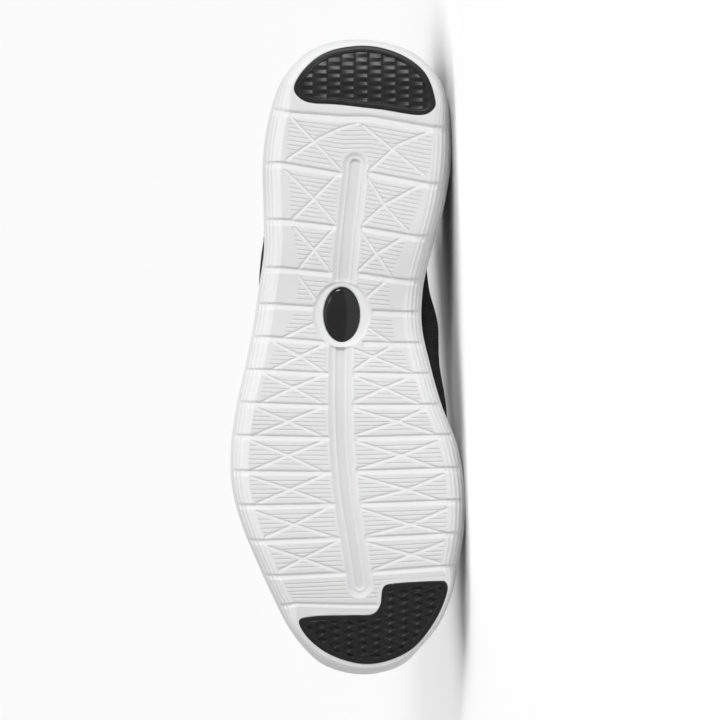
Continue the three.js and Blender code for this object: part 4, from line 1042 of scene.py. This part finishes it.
# rows at the corner where the collar meets the throat, smoothed along the opening
corner_rows = slice(fan_rows + 38, fan_rows + 60)
round_length = side_runs[1][-1] + side_runs[-1][-1]
skins, ways = {}, {}
for side in (1, -1):
    heel_runs = np.linspace(0, run_at(side, body_x[0]), fan_rows, endpoint=False)
    toe_runs = np.linspace(run_at(side, body_x[-1]), side_runs[side][-1], fan_rows)[1:]
    side_run = np.concatenate([heel_runs, run_at(side, body_x), toe_runs])
    section = upper_section(side, side_run, 0)
    path = skin_places(section, samples[None, :])
    way = np.cumsum(np.linalg.norm(np.diff(path, axis=1, prepend=path[:, :1]), axis=-1), axis=1)
    open_here = opening(path[..., 0], path[..., 1], path[..., 2])
    ends = way[:, -1].copy()
    for i in range(front_row):
        hits = np.nonzero((open_here[i] > 0) & (samples > 0))[0]
        if len(hits):
            j = hits[0]
            share = open_here[i, j - 1] / (open_here[i, j - 1] - open_here[i, j])
            ends[i] = way[i, j - 1] + (way[i, j] - way[i, j - 1]) * share
    smooth = ends.copy()
    for _ in range(corner_smooth_rounds):
        smooth[1:-1] = (smooth[:-2] + 2 * smooth[1:-1] + smooth[2:]) / 4
    ends[corner_rows] = smooth[corner_rows]
    shares = np.linspace(0, 1, skin_columns)
    skins[side] = np.stack([
        [np.interp(shares * ends[i], way[i], path[i, :, k]) for k in range(3)] for i in range(len(ends))
    ]).transpose(0, 2, 1)
    round_run = side_run if side > 0 else round_length - side_run
    ways[side] = np.stack([np.repeat(round_run[:, None], skin_columns, 1), shares * ends[:, None]], -1)

side_count = len(skins[1])
skin = np.concatenate([skins[1], skins[-1][-2:0:-1]], axis=0)
skin_way = np.concatenate([ways[1], ways[-1][-2:0:-1]], axis=0)
loop_count = len(skin)
mirror_row = np.concatenate([np.arange(side_count), np.arange(side_count - 2, 0, -1)])
partner = np.array([(loop_count - i) % loop_count for i in range(loop_count)])
closed_row = mirror_row > front_row


def skin_normals(points):
    """Outward directions of the skin, the same on both sides of the top line"""
    along = np.roll(points, -1, axis=0) - np.roll(points, 1, axis=0)
    up = np.gradient(points, axis=1)
    normal = np.cross(up, along)
    normal /= np.maximum(np.linalg.norm(normal, axis=-1, keepdims=True), 1e-12)
    top = normal[:, -2] + normal[partner, -2]
    toe_fan = mirror_row >= side_count - fan_rows
    top[toe_fan] = top[toe_fan].sum(0)
    top /= np.linalg.norm(top, axis=-1, keepdims=True)
    normal[mirror_row >= front_row, -1] = top[mirror_row >= front_row]
    return normal


def crease_lift(points):
    """Soft troughs, each with a low ridge beside it"""
    lift = np.zeros(points.shape[:-1])
    for depth, width, places in crease_rows:
        line = []
        for along, side, share in places:
            run = run_at(side, np.array([along * 0.001]))
            line.append(skin_places(upper_section(side, run, 0), np.array([[share]]))[0, 0])
        near = space_distance(points, np.array(line)) / (width * 0.001)
        from_ends = np.min([np.linalg.norm(points - line[k], axis=-1) for k in (0, -1)], axis=0)
        fade = soft_step(from_ends, 0, crease_fade)
        ridge = crease_ridge * np.exp(-((near - crease_ridge_off) ** 2))
        lift += fade * depth * 0.001 * (ridge - np.exp(-(near**2)))
    return lift


def laid_flat(places):
    """Shoe places with those under the floor lifted onto it, as where soft cloth lies on it"""
    below = np.maximum(floor_clearance - in_row(places)[..., 2], 0)
    return places + below[..., None] * shoe_turn[:, 2]


x, y, z = skin[..., 0], skin[..., 1], skin[..., 2]
on_stay = (z > stay_foot) & (x > throat_back)
stay_inside = np.where(on_stay, throat_inside(x, y, stay_half, stay_round), -1)
below_collar = np.where(x < collar_rows[-1][0] * length, collar_height(x) - z, 1)
cuff_share = np.clip((cuff_height - below_collar) / cuff_height, 0, 1)
lift = np.maximum(
    eyestay_step * soft_step(stay_inside, 0, eyestay_step),
    cuff_step * soft_step(cuff_share, 0, cuff_step_share) + cuff_roll * np.sin(math.pi * cuff_share),
)
off_stay = 1 - soft_step(stay_inside, *crease_stay_stop)
off_cuff = 1 - soft_step(cuff_share, *crease_cuff_stop)
lift += crease_lift(skin) * (off_stay * off_cuff)
skin = skin + skin_normals(skin) * lift[..., None]
normals = skin_normals(skin)

# Eyelets: the corners round each hole are drawn onto its circle, and the faces inside are left out
eyelet_x = np.linspace(first_eyelet, last_eyelet, eyelet_pairs)
eyelet_off = throat_half + eyelet_inset
eyelets = {
    side: [(x, float(middle_across(x)) + side * eyelet_off) for x in eyelet_x] for side in (1, -1)
}
inner_skin = skin - normals * upper_wall
hole_faces = np.zeros((loop_count, skin_columns - 1), bool)
next_row = np.roll(skin, -1, axis=0)
centres = (skin + next_row)[:, :-1] / 4 + (skin + next_row)[:, 1:] / 4
eyelet_centres = []
for side in (1, -1):
    for ex, ey in eyelets[side]:
        axis = skin_normal(np.array(ex), np.array(ey))
        centre = np.array([ex, ey, float(skin_height(np.array(ex), np.array(ey)))])
        eyelet_centres.append(centre)
        for points in (skin, inner_skin):
            off = points - centre
            radial = off - (off @ axis)[..., None] * axis
            far = np.linalg.norm(radial, axis=-1)
            here = (far < eyelet_reach) & (np.linalg.norm(off, axis=-1) < eyelet_depth)
            if points is skin:
                spot = centres - centre
                spot_far = np.linalg.norm(spot - (spot @ axis)[..., None] * axis, axis=-1)
                gone = (spot_far < eyelet_half) & (np.linalg.norm(spot, axis=-1) < eyelet_depth)
                hole_faces |= gone
                padded_gone = np.pad(gone, ((0, 0), (1, 1)))
                touch = sum(
                    np.roll(padded_gone, shift, axis=0)[:, start : start + skin_columns].astype(int)
                    for shift in (0, 1) for start in (0, 1)
                )
                border = (touch > 0) & (touch < 4)
                raised = here & (touch == 0)
                from_rim = (far[raised] - eyelet_rim_off) / eyelet_rim_width
                points[raised] += axis * (eyelet_rim * np.exp(-(from_rim**2)))[:, None]
            outwards = radial / np.maximum(far, 1e-9)[..., None]
            target = centre + (off @ axis)[..., None] * axis + outwards * eyelet_half
            points[border] = target[border]

# Rounded edge of the opening, between the knit and its lining. At the front of the throat it faces
# back and a little down.
throat_edge_way = (-1, 0, -0.2)
edge_run = np.roll(skin[:, -1], -1, axis=0) - np.roll(skin[:, -1], 1, axis=0)
over_edge = np.cross(edge_run, normals[:, -1])
facing = np.sum(over_edge * (skin[:, -1] - skin[:, -3]), axis=-1)
over_edge *= np.where(facing < 0, -1, 1)[:, None]
over_edge[mirror_row == front_row] = throat_edge_way
over_edge /= np.maximum(np.linalg.norm(over_edge, axis=-1, keepdims=True), 1e-12)
rim_degrees = (30, 60, 90, 120, 150)
rim_columns = []
for degrees in rim_degrees:
    turn = math.radians(degrees)
    middle = skin[:, -1] - normals[:, -1] * rim_round
    rim = middle + rim_round * (normals[:, -1] * math.cos(turn) + over_edge * math.sin(turn))
    flat = skin[:, -1] + (inner_skin[:, -1] - skin[:, -1]) * degrees / 180
    rim_columns.append(np.where(closed_row[:, None], flat, rim))
shell = np.concatenate([skin, np.stack(rim_columns, 1), inner_skin[:, ::-1], skin[:, :1]], axis=1)
rim_way = np.repeat(skin_way[:, -1:], len(rim_degrees), 1)
shell_way = np.concatenate([skin_way, rim_way, skin_way[:, ::-1], skin_way[:, :1]], axis=1) * 1000
shell = laid_flat(np.concatenate([shell, shell[:1]], axis=0))
round_way = shell_way[:1] + (round_length * 1000, 0)
shell_way = np.concatenate([shell_way, round_way], axis=0)
face_gone = np.zeros((loop_count, shell.shape[1] - 1), bool)
face_gone[:, : skin_columns - 1] |= hole_faces
first_lining = skin_columns + len(rim_degrees)
face_gone[:, first_lining : first_lining + skin_columns - 1] |= hole_faces[:, ::-1]
closed_faces = (mirror_row >= front_row) & (np.roll(mirror_row, -1) >= front_row)
face_gone[:, skin_columns - 1 : first_lining] |= closed_faces[:, None]
lining_faces = np.zeros_like(face_gone)
lining_faces[:, first_lining:] = True
shell_piece = grid_piece(
    "upper_knit_boot", shell, maps={"cloth": [shell_way]}, gone=face_gone, second=lining_faces)
# Walls of the eyelets, from the knit through to its lining
shape = bmesh.new()
shape.from_mesh(shell_piece.data)
for centre in eyelet_centres:
    middle = Vector(in_row(centre))
    around = []
    for edge in shape.edges:
        off = (edge.verts[0].co + edge.verts[1].co) / 2 - middle
        if edge.is_boundary and off.length < eyelet_bridge:
            around.append(edge)
    bmesh.ops.bridge_loops(shape, edges=around)
bmesh.ops.recalc_face_normals(shape, faces=shape.faces)
for face in shape.faces:
    face.smooth = True
shape.to_mesh(shell_piece.data)
shape.free()


def cloth_finish(name, dark, light, wale, course, height, roughness):
    """Knitted or woven cloth on the piece's own cloth map, in millimetres: rows of small loops, with
    yarn of two tones and a soft sheen"""
    material, tree, shader = new_finish(
        name, roughness, Sheen_Weight=0.05, Sheen_Roughness=0.4, Specular_IOR_Level=0.1)

    def value(operation, a, b=0.0):
        return math_node(tree, operation, a, b)

    way = add_node(tree, "ShaderNodeUVMap", uv_map="cloth").outputs["UV"]
    part = add_node(tree, "ShaderNodeSeparateXYZ", {"Vector": way})
    across = value("FRACT", value("DIVIDE", part.outputs["X"], wale))
    lean = value("ABSOLUTE", value("SUBTRACT", across, 0.5))
    row = value("ADD", value("DIVIDE", part.outputs["Y"], course), lean)
    loops = value("SINE", value("MULTIPLY", row, 2 * math.pi))
    groove = value("MULTIPLY", value("POWER", value("MULTIPLY", lean, 2.0), 3.0), -1.4)
    fuzz = add_node(tree, "ShaderNodeTexNoise", {"Vector": way, "Scale": 3.1, "Detail": 4}).outputs["Fac"]
    level = value("ADD", value("MULTIPLY", loops, 0.5), value("ADD", groove, fuzz))
    bump = add_node(tree, "ShaderNodeBump", {"Height": level, "Distance": height, "Strength": 0.8})
    tree.links.new(bump.outputs["Normal"], shader.inputs["Normal"])
    cloud = add_node(tree, "ShaderNodeTexNoise", {"Vector": way, "Scale": 0.09, "Detail": 3}).outputs["Fac"]
    mixed = value("ADD", value("MULTIPLY", fuzz, 0.6), value("MULTIPLY", cloud, 0.4))
    share = add_node(tree, "ShaderNodeMapRange", {"Value": mixed, "From Min": 0.3, "From Max": 0.7})
    two_tones(tree, shader, share.outputs["Result"], dark, light)
    return material


knit = cloth_finish(
    "upper_knit", (0.005, 0.005, 0.0055), (0.018, 0.018, 0.0195), 1.25, 1.05, 0.00034, 0.85)
lining = cloth_finish(
    "upper_lining", (0.008, 0.008, 0.009), (0.016, 0.016, 0.017), 0.8, 0.8, 0.00012, 0.9)
shell_piece.data.materials.append(knit)
shell_piece.data.materials.append(lining)
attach(shell_piece, "root")
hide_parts("upper")

# Stitching: black thread, sewn through the knit by machine in short straight stitches. One row runs
# round the throat, two along the stay's outer edge and one under the cuff.
thread_half = 0.00028
thread_lift = 0.00004
stitch_length, stitch_gap = 0.0022, 0.0011
# shares of a stitch's length and of its thickness along one bead
bead_places, bead_widths = np.array([0, 0.08, 0.3, 0.7, 0.92, 1]), np.array([0, 0.7, 1, 1, 0.7, 0])
seam_start, seam_lift = 0.1085, 0.00005
# half width and front radius of the seams round the throat
seam_rows = (
    (throat_half + 0.0032, throat_round + 0.0032), (stay_half - 0.0028, stay_round - 0.0024),
    (stay_half - 0.0044, stay_round - 0.0038),
)
cuff_seam_up = 0.0022
cuff_seam_front = 0.0975
cuff_seam_rows = 66
bead_corners = 7
straight_steps, arc_steps = 60, 41


def stitch_row(line):
    """Stitches laid end to end along places on the skin, each a small bead of thread"""
    places, directions = (np.array(part) for part in zip(*line))
    way = np.append(0, np.cumsum(np.linalg.norm(np.diff(places, axis=0), axis=1)))
    beads = []
    for start in np.arange(0, way[-1] - stitch_length, stitch_length + stitch_gap):
        stops = start + stitch_length * bead_places
        spots = np.stack([np.interp(stops, way, places[:, k]) for k in range(3)], -1)
        away = np.stack([np.interp(stops, way, directions[:, k]) for k in range(3)], -1)
        across = np.cross(spots[-1] - spots[0], away)
        across /= np.linalg.norm(across, axis=-1, keepdims=True)
        spots = spots + away * (thread_half + thread_lift)
        turns = np.linspace(0, 2 * math.pi, bead_corners)[None, :, None]
        ring = away[:, None] * np.sin(turns) + across[:, None] * np.cos(turns)
        ring[:, -1] = ring[:, 0]
        beads.append(spots[:, None] + ring * (thread_half * bead_widths)[:, None, None])
    return beads


def throat_line(half, front_round, lift, back_x):
    """Places and directions on the skin along an outline round the throat"""
    straight = np.linspace(back_x, throat_centre, straight_steps)
    arc = np.linspace(math.pi / 2, -math.pi / 2, arc_steps)[1:-1]
    halves = np.interp(straight, [throat_back, throat_centre], [half, front_round])
    xs = np.concatenate([straight, throat_centre + front_round * np.cos(arc), straight[::-1]])
    offs = np.concatenate([halves, front_round * np.sin(arc), -halves[::-1]])
    ys = middle_across(xs) + offs
    away = skin_normal(xs, ys)
    return list(zip(np.stack([xs, ys, skin_height(xs, ys)], -1) + away * lift, away))


beads = []
for half, front_round in seam_rows:
    beads += stitch_row(throat_line(half, front_round, eyestay_step + seam_lift, seam_start))
cuff_line = []
for row in range(-cuff_seam_rows, cuff_seam_rows + 1):
    under = collar_height(skin[row, :, 0]) - skin[row, :, 2] - (cuff_height - cuff_seam_up)
    hits = np.nonzero((under[:-1] > 0) & (under[1:] <= 0))[0]
    if len(hits) and skin[row, hits[0], 0] < cuff_seam_front:
        j = hits[0]
        share = under[j] / (under[j] - under[j + 1])
        spot = skin[row, j] + (skin[row, j + 1] - skin[row, j]) * share
        cuff_line.append((spot, normals[row, j]))
beads += stitch_row(cuff_line)
beads = [laid_flat(bead) for bead in beads]
bead_way = np.broadcast_to(np.linspace(0, 2, len(bead_places))[:, None, None], (*beads[0].shape[:2], 2))
bead_ways = [bead_way] * len(beads)
stitching = grid_piece("upper_stitching", *beads, maps={"cloth": bead_ways})
thread = cloth_finish(
    "stitch_thread", (0.016, 0.016, 0.017), (0.034, 0.034, 0.036), 0.3, 0.4, 0.00005, 0.6)
stitching.data.materials.append(thread)
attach(stitching, "root")

# Tongue: a pad of soft foam inside two layers of knit, sewn round its edge, held at the front of the
# throat and free at the top.
tongue_thickness = 0.004
tongue_half = 0.028
tongue_corner = 0.009
tongue_back, tongue_front = 0.07995, 0.18075
tongue_front_share = 0.62
tongue_inset = upper_wall + clearance + 0.00015
tongue_edge_round = 0.0042
tongue_seam_in, tongue_seam_width, tongue_seam_depth = 0.0048, 0.0009, 0.0007
tongue_rows, tongue_columns = 110, 64
tongue_row_crowding, tongue_column_crowding = 0.2, 0.25
tongue_back_shift = (200, 0)
row_share = np.linspace(0, 1, tongue_rows)
crowded = (1 - np.cos(math.pi * row_share)) / 2
row_share = tongue_row_crowding * crowded + (1 - tongue_row_crowding) * row_share
along = tongue_back + (tongue_front - tongue_back) * row_share
half = np.interp(along, [tongue_back, tongue_front], [tongue_half, tongue_half * tongue_front_share])
for end in (tongue_back, tongue_front):
    into = np.clip(tongue_corner - np.abs(along - end), 0, tongue_corner)
    half -= tongue_corner - np.sqrt(tongue_corner**2 - into**2 + 1e-9)
across = np.linspace(-1, 1, tongue_columns)
crowded = np.sin(across * math.pi / 2)
across = tongue_column_crowding * crowded + (1 - tongue_column_crowding) * across
x = np.repeat(along[:, None], tongue_columns, 1)
y = middle_across(x) + half[:, None] * across[None, :]
tongue_skin = np.stack([x, y, skin_height(x, y, tongue_inset)], -1)
tongue_out = skin_normal(x, y, tongue_inset)
end_near = np.minimum(along - tongue_back, tongue_front - along)
edge_near = np.minimum(half[:, None] * (1 - np.abs(across))[None, :], end_near[:, None])
plump = np.sqrt(1 - np.clip(1 - edge_near / tongue_edge_round, 0, 1) ** 2) * 0.5
seam = tongue_seam_depth * np.exp(-(((edge_near - tongue_seam_in) / tongue_seam_width) ** 2))
half_thick = (tongue_thickness * plump - seam)[..., None]
middle_seat = tongue_skin - tongue_out * tongue_thickness / 2
top = middle_seat + tongue_out * half_thick
bottom = middle_seat - tongue_out * half_thick
tongue_points = np.concatenate([top, bottom[:, ::-1], top[:, :1]], axis=1)
top_way = np.stack([x, y], -1) * 1000
back_way = top_way[:, ::-1] + tongue_back_shift
tongue_way = np.concatenate([top_way, back_way, top_way[:, :1]], axis=1)
tongue_way = tongue_way[..., ::-1]
tongue = grid_piece("tongue_pad", tongue_points, maps={"cloth": [tongue_way]})
tongue_cloth = cloth_finish(
    "tongue_knit", (0.006, 0.006, 0.0065), (0.018, 0.018, 0.0195), 1.6, 1.3, 0.00034, 0.88)
tongue.data.materials.append(tongue_cloth)
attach(tongue, "root")
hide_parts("tongue")

# Insole: a flat pad of soft foam under brushed cloth, cut to the footbed with a rounded edge, and laid
# loose in the cup.
insole_thickness, insole_least, insole_lift = 0.004, 0.0002, 0.00005
insole_gap, insole_edge_round, insole_edge_share = 0.0012, 0.0012, 0.8
insole_end_rows, insole_body_rows, insole_half_columns = 30, 91, 20
insole_crowding = 1.4
insole_runs = {}
for side in (1, -1):
    ends = run_at(side, np.array([fan_heel * length, fan_toe * length]))
    heel_part = np.linspace(0, ends[0], insole_end_rows, endpoint=False)
    toe_part = np.linspace(ends[1], side_runs[side][-1], insole_end_rows)[1:]
    body = run_at(side, np.linspace(fan_heel * length, fan_toe * length, insole_body_rows))
    insole_runs[side] = np.concatenate([heel_part, body, toe_part])
halves = {}
for side in (1, -1):
    section = upper_section(side, insole_runs[side], upper_wall + insole_gap)
    share = np.linspace(0, 1, insole_half_columns)[None, :]
    edge_share = 1 - (1 - share) ** insole_crowding
    rise = np.clip(insole_thickness / (section["bulge"] - section["seat"]), 0, 1)
    turn_out = np.sqrt(1 - (1 - rise) ** 2)
    widest = section["feather"] + (section["wide"] - section["feather"]) * turn_out
    reach_in = widest[:, None] * edge_share
    plan = section["spine"][:, None] + section["out"][:, None] * reach_in[..., None]
    seat_z = heel_seat * read_rows(height_rows, 1, plan[..., 0] / length)
    seat_z = seat_z + (section["seat"][:, None] - seat_z) * edge_share
    from_edge = widest[:, None] - reach_in
    edge_turn = np.sqrt(1 - np.clip(1 - from_edge / insole_edge_round, 0, 1) ** 2)
    edge_height = insole_edge_share + (1 - insole_edge_share) * edge_turn
    topside = seat_z + insole_thickness * edge_height
    share_out = (reach_in - section["feather"][:, None]) / (section["wide"] - section["feather"])[:, None]
    rounded = 1 - np.sqrt(1 - np.clip(share_out, 0, 1) ** 2)
    underside = seat_z + insole_lift + rounded * (section["bulge"] - section["seat"])[:, None]
    underside = np.minimum(underside, topside - insole_least)
    halves[side] = [np.dstack([plan, height]) for height in (topside, underside)]
top, bottom = (np.concatenate([halves[1][k][:, ::-1], halves[-1][k][:, 1:]], 1) for k in (0, 1))
insole_points = np.concatenate([top, bottom[:, ::-1], top[:, :1]], axis=1)
insole_way = insole_points[..., :2] * 1000
insole = grid_piece("insole_pad", insole_points, maps={"cloth": [insole_way]})
insole_cloth = cloth_finish(
    "insole_cloth", (0.018, 0.018, 0.019), (0.034, 0.034, 0.036), 0.9, 0.9, 0.0001, 0.95)
insole.data.materials.append(insole_cloth)
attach(insole, "root")
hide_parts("insole")

# Laces: one flat woven lace, crossed up the stay and drawn down through the eyelets, its ends inside
# the top pair.
lace_half_width, lace_half_thick = 0.003, 0.0006
lace_bend = 0.0017
lace_lift = eyestay_step + 3 * clearance + lace_half_thick
lace_rise = 0.0013
hole_half_width, hole_half_thick = 0.0013, 0.0005
lace_end_depths = (-0.0026, -0.0012, 0.0002)
lace_steps = 30
lace_turn = (0, 20, 40, 60, 80)
# distances from the hole between which the ribbon opens to its full width, and the powers that
# flatten its section
lace_wide_from, lace_wide_full = 0.0008, 0.0055
lace_side_power, lace_face_power = 0.55, 0.8
ring_corners = 17
lace_round = 13


def lace_run(start, end, over):
    """Ribbon from inside one eyelet, over the stay and the tongue, into another"""
    start, end = np.array(start), np.array(end)
    span = np.linalg.norm(end - start)
    steps = np.linspace(lace_bend, span - lace_bend, lace_steps)
    quarter = np.radians(lace_turn)
    turn_in = [(0, depth) for depth in lace_end_depths]
    turn_in += [
        (lace_bend * (1 - math.cos(q)), lace_lift - lace_bend * (1 - math.sin(q))) for q in quarter]
    path = turn_in + [(s, lace_lift + over * math.sin(math.pi * s / span)) for s in steps]
    path += [(span - along, height) for along, height in turn_in[::-1]]
    way, height = np.array(path).T
    plan = start + (end - start) * (way / span)[:, None]
    normal = skin_normal(plan[:, 0], plan[:, 1])
    centre = np.column_stack([plan, skin_height(plan[:, 0], plan[:, 1])]) + normal * height[:, None]
    tangent = np.gradient(centre, axis=0)
    tangent /= np.linalg.norm(tangent, axis=-1, keepdims=True)
    heading = np.append((end - start) / span, 0)
    across = np.cross(normal, heading)
    across /= np.linalg.norm(across, axis=-1, keepdims=True)
    thick_way = np.cross(across, tangent)
    out_of_hole = np.minimum(way, span - way) + np.clip(height, -1, 0)
    free = soft_step(out_of_hole, lace_wide_from, lace_wide_full)[:, None]
    wide = hole_half_width + (lace_half_width - hole_half_width) * free
    thick = hole_half_thick + (lace_half_thick - hole_half_thick) * free
    turns = np.linspace(0, 2 * math.pi, ring_corners)
    flat = np.sign(np.cos(turns)) * np.abs(np.cos(turns)) ** lace_side_power
    deep = np.sign(np.sin(turns)) * np.abs(np.sin(turns)) ** lace_face_power
    ring = across[:, None] * (wide * flat)[..., None] + thick_way[:, None] * (thick * deep)[..., None]
    ring[:, -1] = ring[:, 0]
    points = centre[:, None] + ring
    start_cap, end_cap = (np.repeat(spot[None, None], ring_corners, 1) for spot in centre[[0, -1]])
    points = np.concatenate([start_cap, points, end_cap])
    round_way = np.repeat(np.linspace(0, lace_round, ring_corners)[None], len(points), 0)
    along_way = np.repeat(np.concatenate([way[:1], way, way[-1:]])[:, None] * 1000, ring_corners, 1)
    return points, np.stack([round_way, along_way], -1)


lace_runs = [lace_run(eyelets[1][0], eyelets[-1][0], 0.0)]
for i in range(eyelet_pairs - 1):
    for side, rise in ((1, lace_rise), (-1, 0.0)):
        lace_runs.append(lace_run(eyelets[side][i], eyelets[-side][i + 1], rise))
lace_points, lace_ways = zip(*lace_runs)
laces = grid_piece("lace_ribbon", *lace_points, maps={"cloth": lace_ways})
lace_cloth = cloth_finish(
    "lace_cord", (0.007, 0.007, 0.0075), (0.02, 0.02, 0.0215), 0.9, 0.7, 0.00016, 0.8)
laces.data.materials.append(lace_cloth)
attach(laces, "root")
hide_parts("laces")
